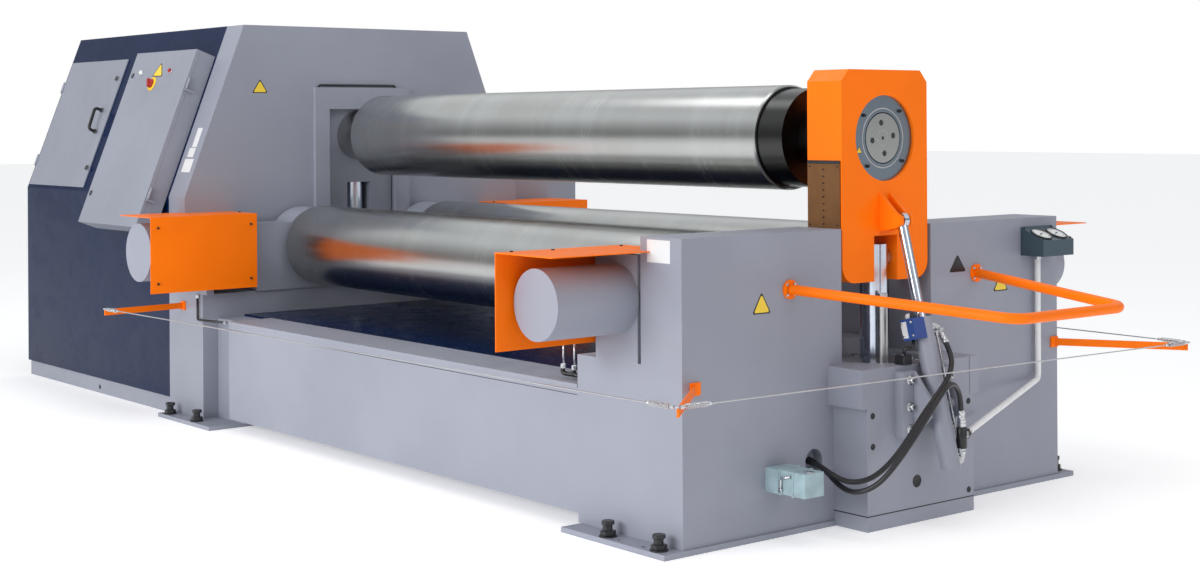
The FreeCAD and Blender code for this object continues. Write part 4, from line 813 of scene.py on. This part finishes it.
def socket_details():
    """Lid edges, clamping levers and cable entry of the socket block."""
    plated = 1
    lid = Work()
    for x in (2134, 2200):
        lid.plate([at(x, y, z) for y, z in ((-655, 171), (-551, 171), (-551, 266), (-655, 266))], X, 5, 1.5)
    for y, outward in ((-657, -Y), (-549, Y)):
        lid.bent_bar([(2146, y, 190), (2146, y, 232), (2196, y, 246)], 5, mark=plated)
        lid.turned(at(2146, y, 190), outward, [(-3, 0), (-3, 9), (4, 9), (5, 8), (5, 0)], 24, mark=plated)
    lid.turned(at(2236, -603, 262), Z, [(-6, 0), (-6, 19), (0, 19), (2, 17), (2, 0)], 32, mark=plated)
    for y, z in ((-650, 182), (-556, 182), (-650, 255), (-556, 255)):
        lid.socket_screw(at(2205, y, z), X, 5, plated)
    lid.piece("socket_lid", "machine_frame", "socket_plastic", SOCKET, PLATED)


def grease_pipes():
    """Thin pipes over the drive window, beside the drive step and up to the drop end's side cylinder."""
    plated = 1
    pipes = Work()
    pipes.bent_bar([(-1794, -272, 1690), (-1786, -272, 1726), (-1786, 215, 1726), (-1794, 215, 1690)], 6)
    pipes.bent_bar([(-1640, -1070, 648), (-1640, -1070, 520), (-1330, -1070, 532)], 6)
    for place, way in (((-1640, -1070, 640), Z), ((-1336, -1070, 531.6), X)):
        pipes.turned(at(*place), way, [(-9, 0), (-9, 9), (-7, 10), (7, 10), (9, 9), (9, 0)], 6, mark=plated)
    side = -1000
    for x in (1317, 1385):
        pipes.bent_bar([(x, side, 690), (x, side, 590)], 4, mark=plated)
        pipes.bent_bar([(x, side, 592), (x - 8, side, 556), (x + 95, side + 30, 550), (1482, side + 40, 552)],
                       9)
        pipes.turned(at(x, side, 588), Z, [(-14, 0), (-14, 10), (-12, 11), (4, 11), (6, 9), (6, 0)], 6,
                     mark=plated)
    pipes.piece("grease_pipes", "machine_frame", "hose_rubber", BLACKED, PLATED)


def trip_wire_ends():
    """Springs and eye ends where the trip wire meets its arms."""
    tips = [(-1762, -1514), (2416, -1389), (2541, 1305), (-1762, 1514)]
    ends = Work()
    for first, second in zip(tips, tips[1:]):
        start, finish = at(*first, WIRE_HEIGHT), at(*second, WIRE_HEIGHT)
        way = (finish - start).normalized()
        for place, ahead in ((start, way), (finish, -way)):
            ends.turned(place + ahead * 0.012, ahead, chamfered(6, 7, 18, 1), 6)
            ends.coil(place + ahead * 0.034, ahead, 96, 8, 1.5, 13)
            ends.turned(place + ahead * 0.132, ahead, [(0, 0), (0, 6), (14, 6), (16, 4), (16, 0)], 16)
    for tip in tips:
        ends.hexagon_screw(at(*tip, 595), Z, 9)
    ends.piece("trip_wire_springs", "machine_frame", "ground_steel", PLATED)


BARE_ON_SLOPE = [(-1915, -1863, 278, 385), (-1933, -1865, 222, 273), (-1943, -1845, 138, 212)]
BARE_ON_POST = [(1886, 1019), (2010, 1019), (2010, 1100), (1886, 1100)]
PALE, YELLOW, BLACK = range(3)
BLANK_SIGNS = [([(POST_FACE, -721, 820), (POST_FACE, -626, 820), (POST_FACE, -673, 900)], YELLOW),
               ([(POST_FACE, 365, 910), (POST_FACE, 469, 910), (POST_FACE, 417, 981)], BLACK),
               ([(POST_FACE, 638, 817), (POST_FACE, 735, 817), (POST_FACE, 686, 894)], YELLOW),
               ([(DRIVE_FACE, -670, 1682), (DRIVE_FACE, -575, 1682), (DRIVE_FACE, -622, 1756)], YELLOW)]


def blank_plates():
    """Bare plates and blank sign shapes, with nothing written on them."""
    plates = Work()
    for left, right, low, high in BARE_ON_SLOPE:
        outline = [on_slope(x, up, 0) for x, up in ((left, low), (right, low), (right, high), (left, high))]
        plates.plate(outline, OFF_SLOPE, 0.9, 0.3, PALE)
    plates.plate([at(x, -HALF_DEPTH, z) for x, z in BARE_ON_POST], -Y, 0.9, 0.3, PALE)
    for corners, mark in BLANK_SIGNS:
        plates.sign([at(*corner) for corner in corners], X, mark)
    plates.piece("blank_frame_plates", "machine_frame", "white_paint", PALE_SHEET, SIGN_YELLOW, BLACKED)
    door = Work()
    door.sign([on_slope(*corner, DOOR_OUT) for corner in ((-2449, 643), (-2321, 643), (-2385, 728))],
              OFF_SLOPE,
              YELLOW)
    door.piece("blank_cabinet_sign", "cabinet_door", "white_paint", PALE_SHEET, SIGN_YELLOW, BLACKED)
    ring = Work()
    ring.sign([at(JOURNAL_FACE, *corner) for corner in ((-151, 1394), (-119, 1394), (-135, 1421))], X, YELLOW)
    ring.piece("blank_ring_sign", "drop_end", "white_paint", PALE_SHEET, SIGN_YELLOW, BLACKED)


camera()
studio()
dress_nodes()
for make in (hydraulic_hoses, union_nuts, inline_valve, sensing_pipe, load_valve, jack_nuts, frame_bolts,
             guard_screws, hole_rims, joint_lines, journal_details, yoke_screws, cabinet_fittings,
             access_fittings, gauges, socket_details, grease_pipes, trip_wire_ends, blank_plates):
    make()
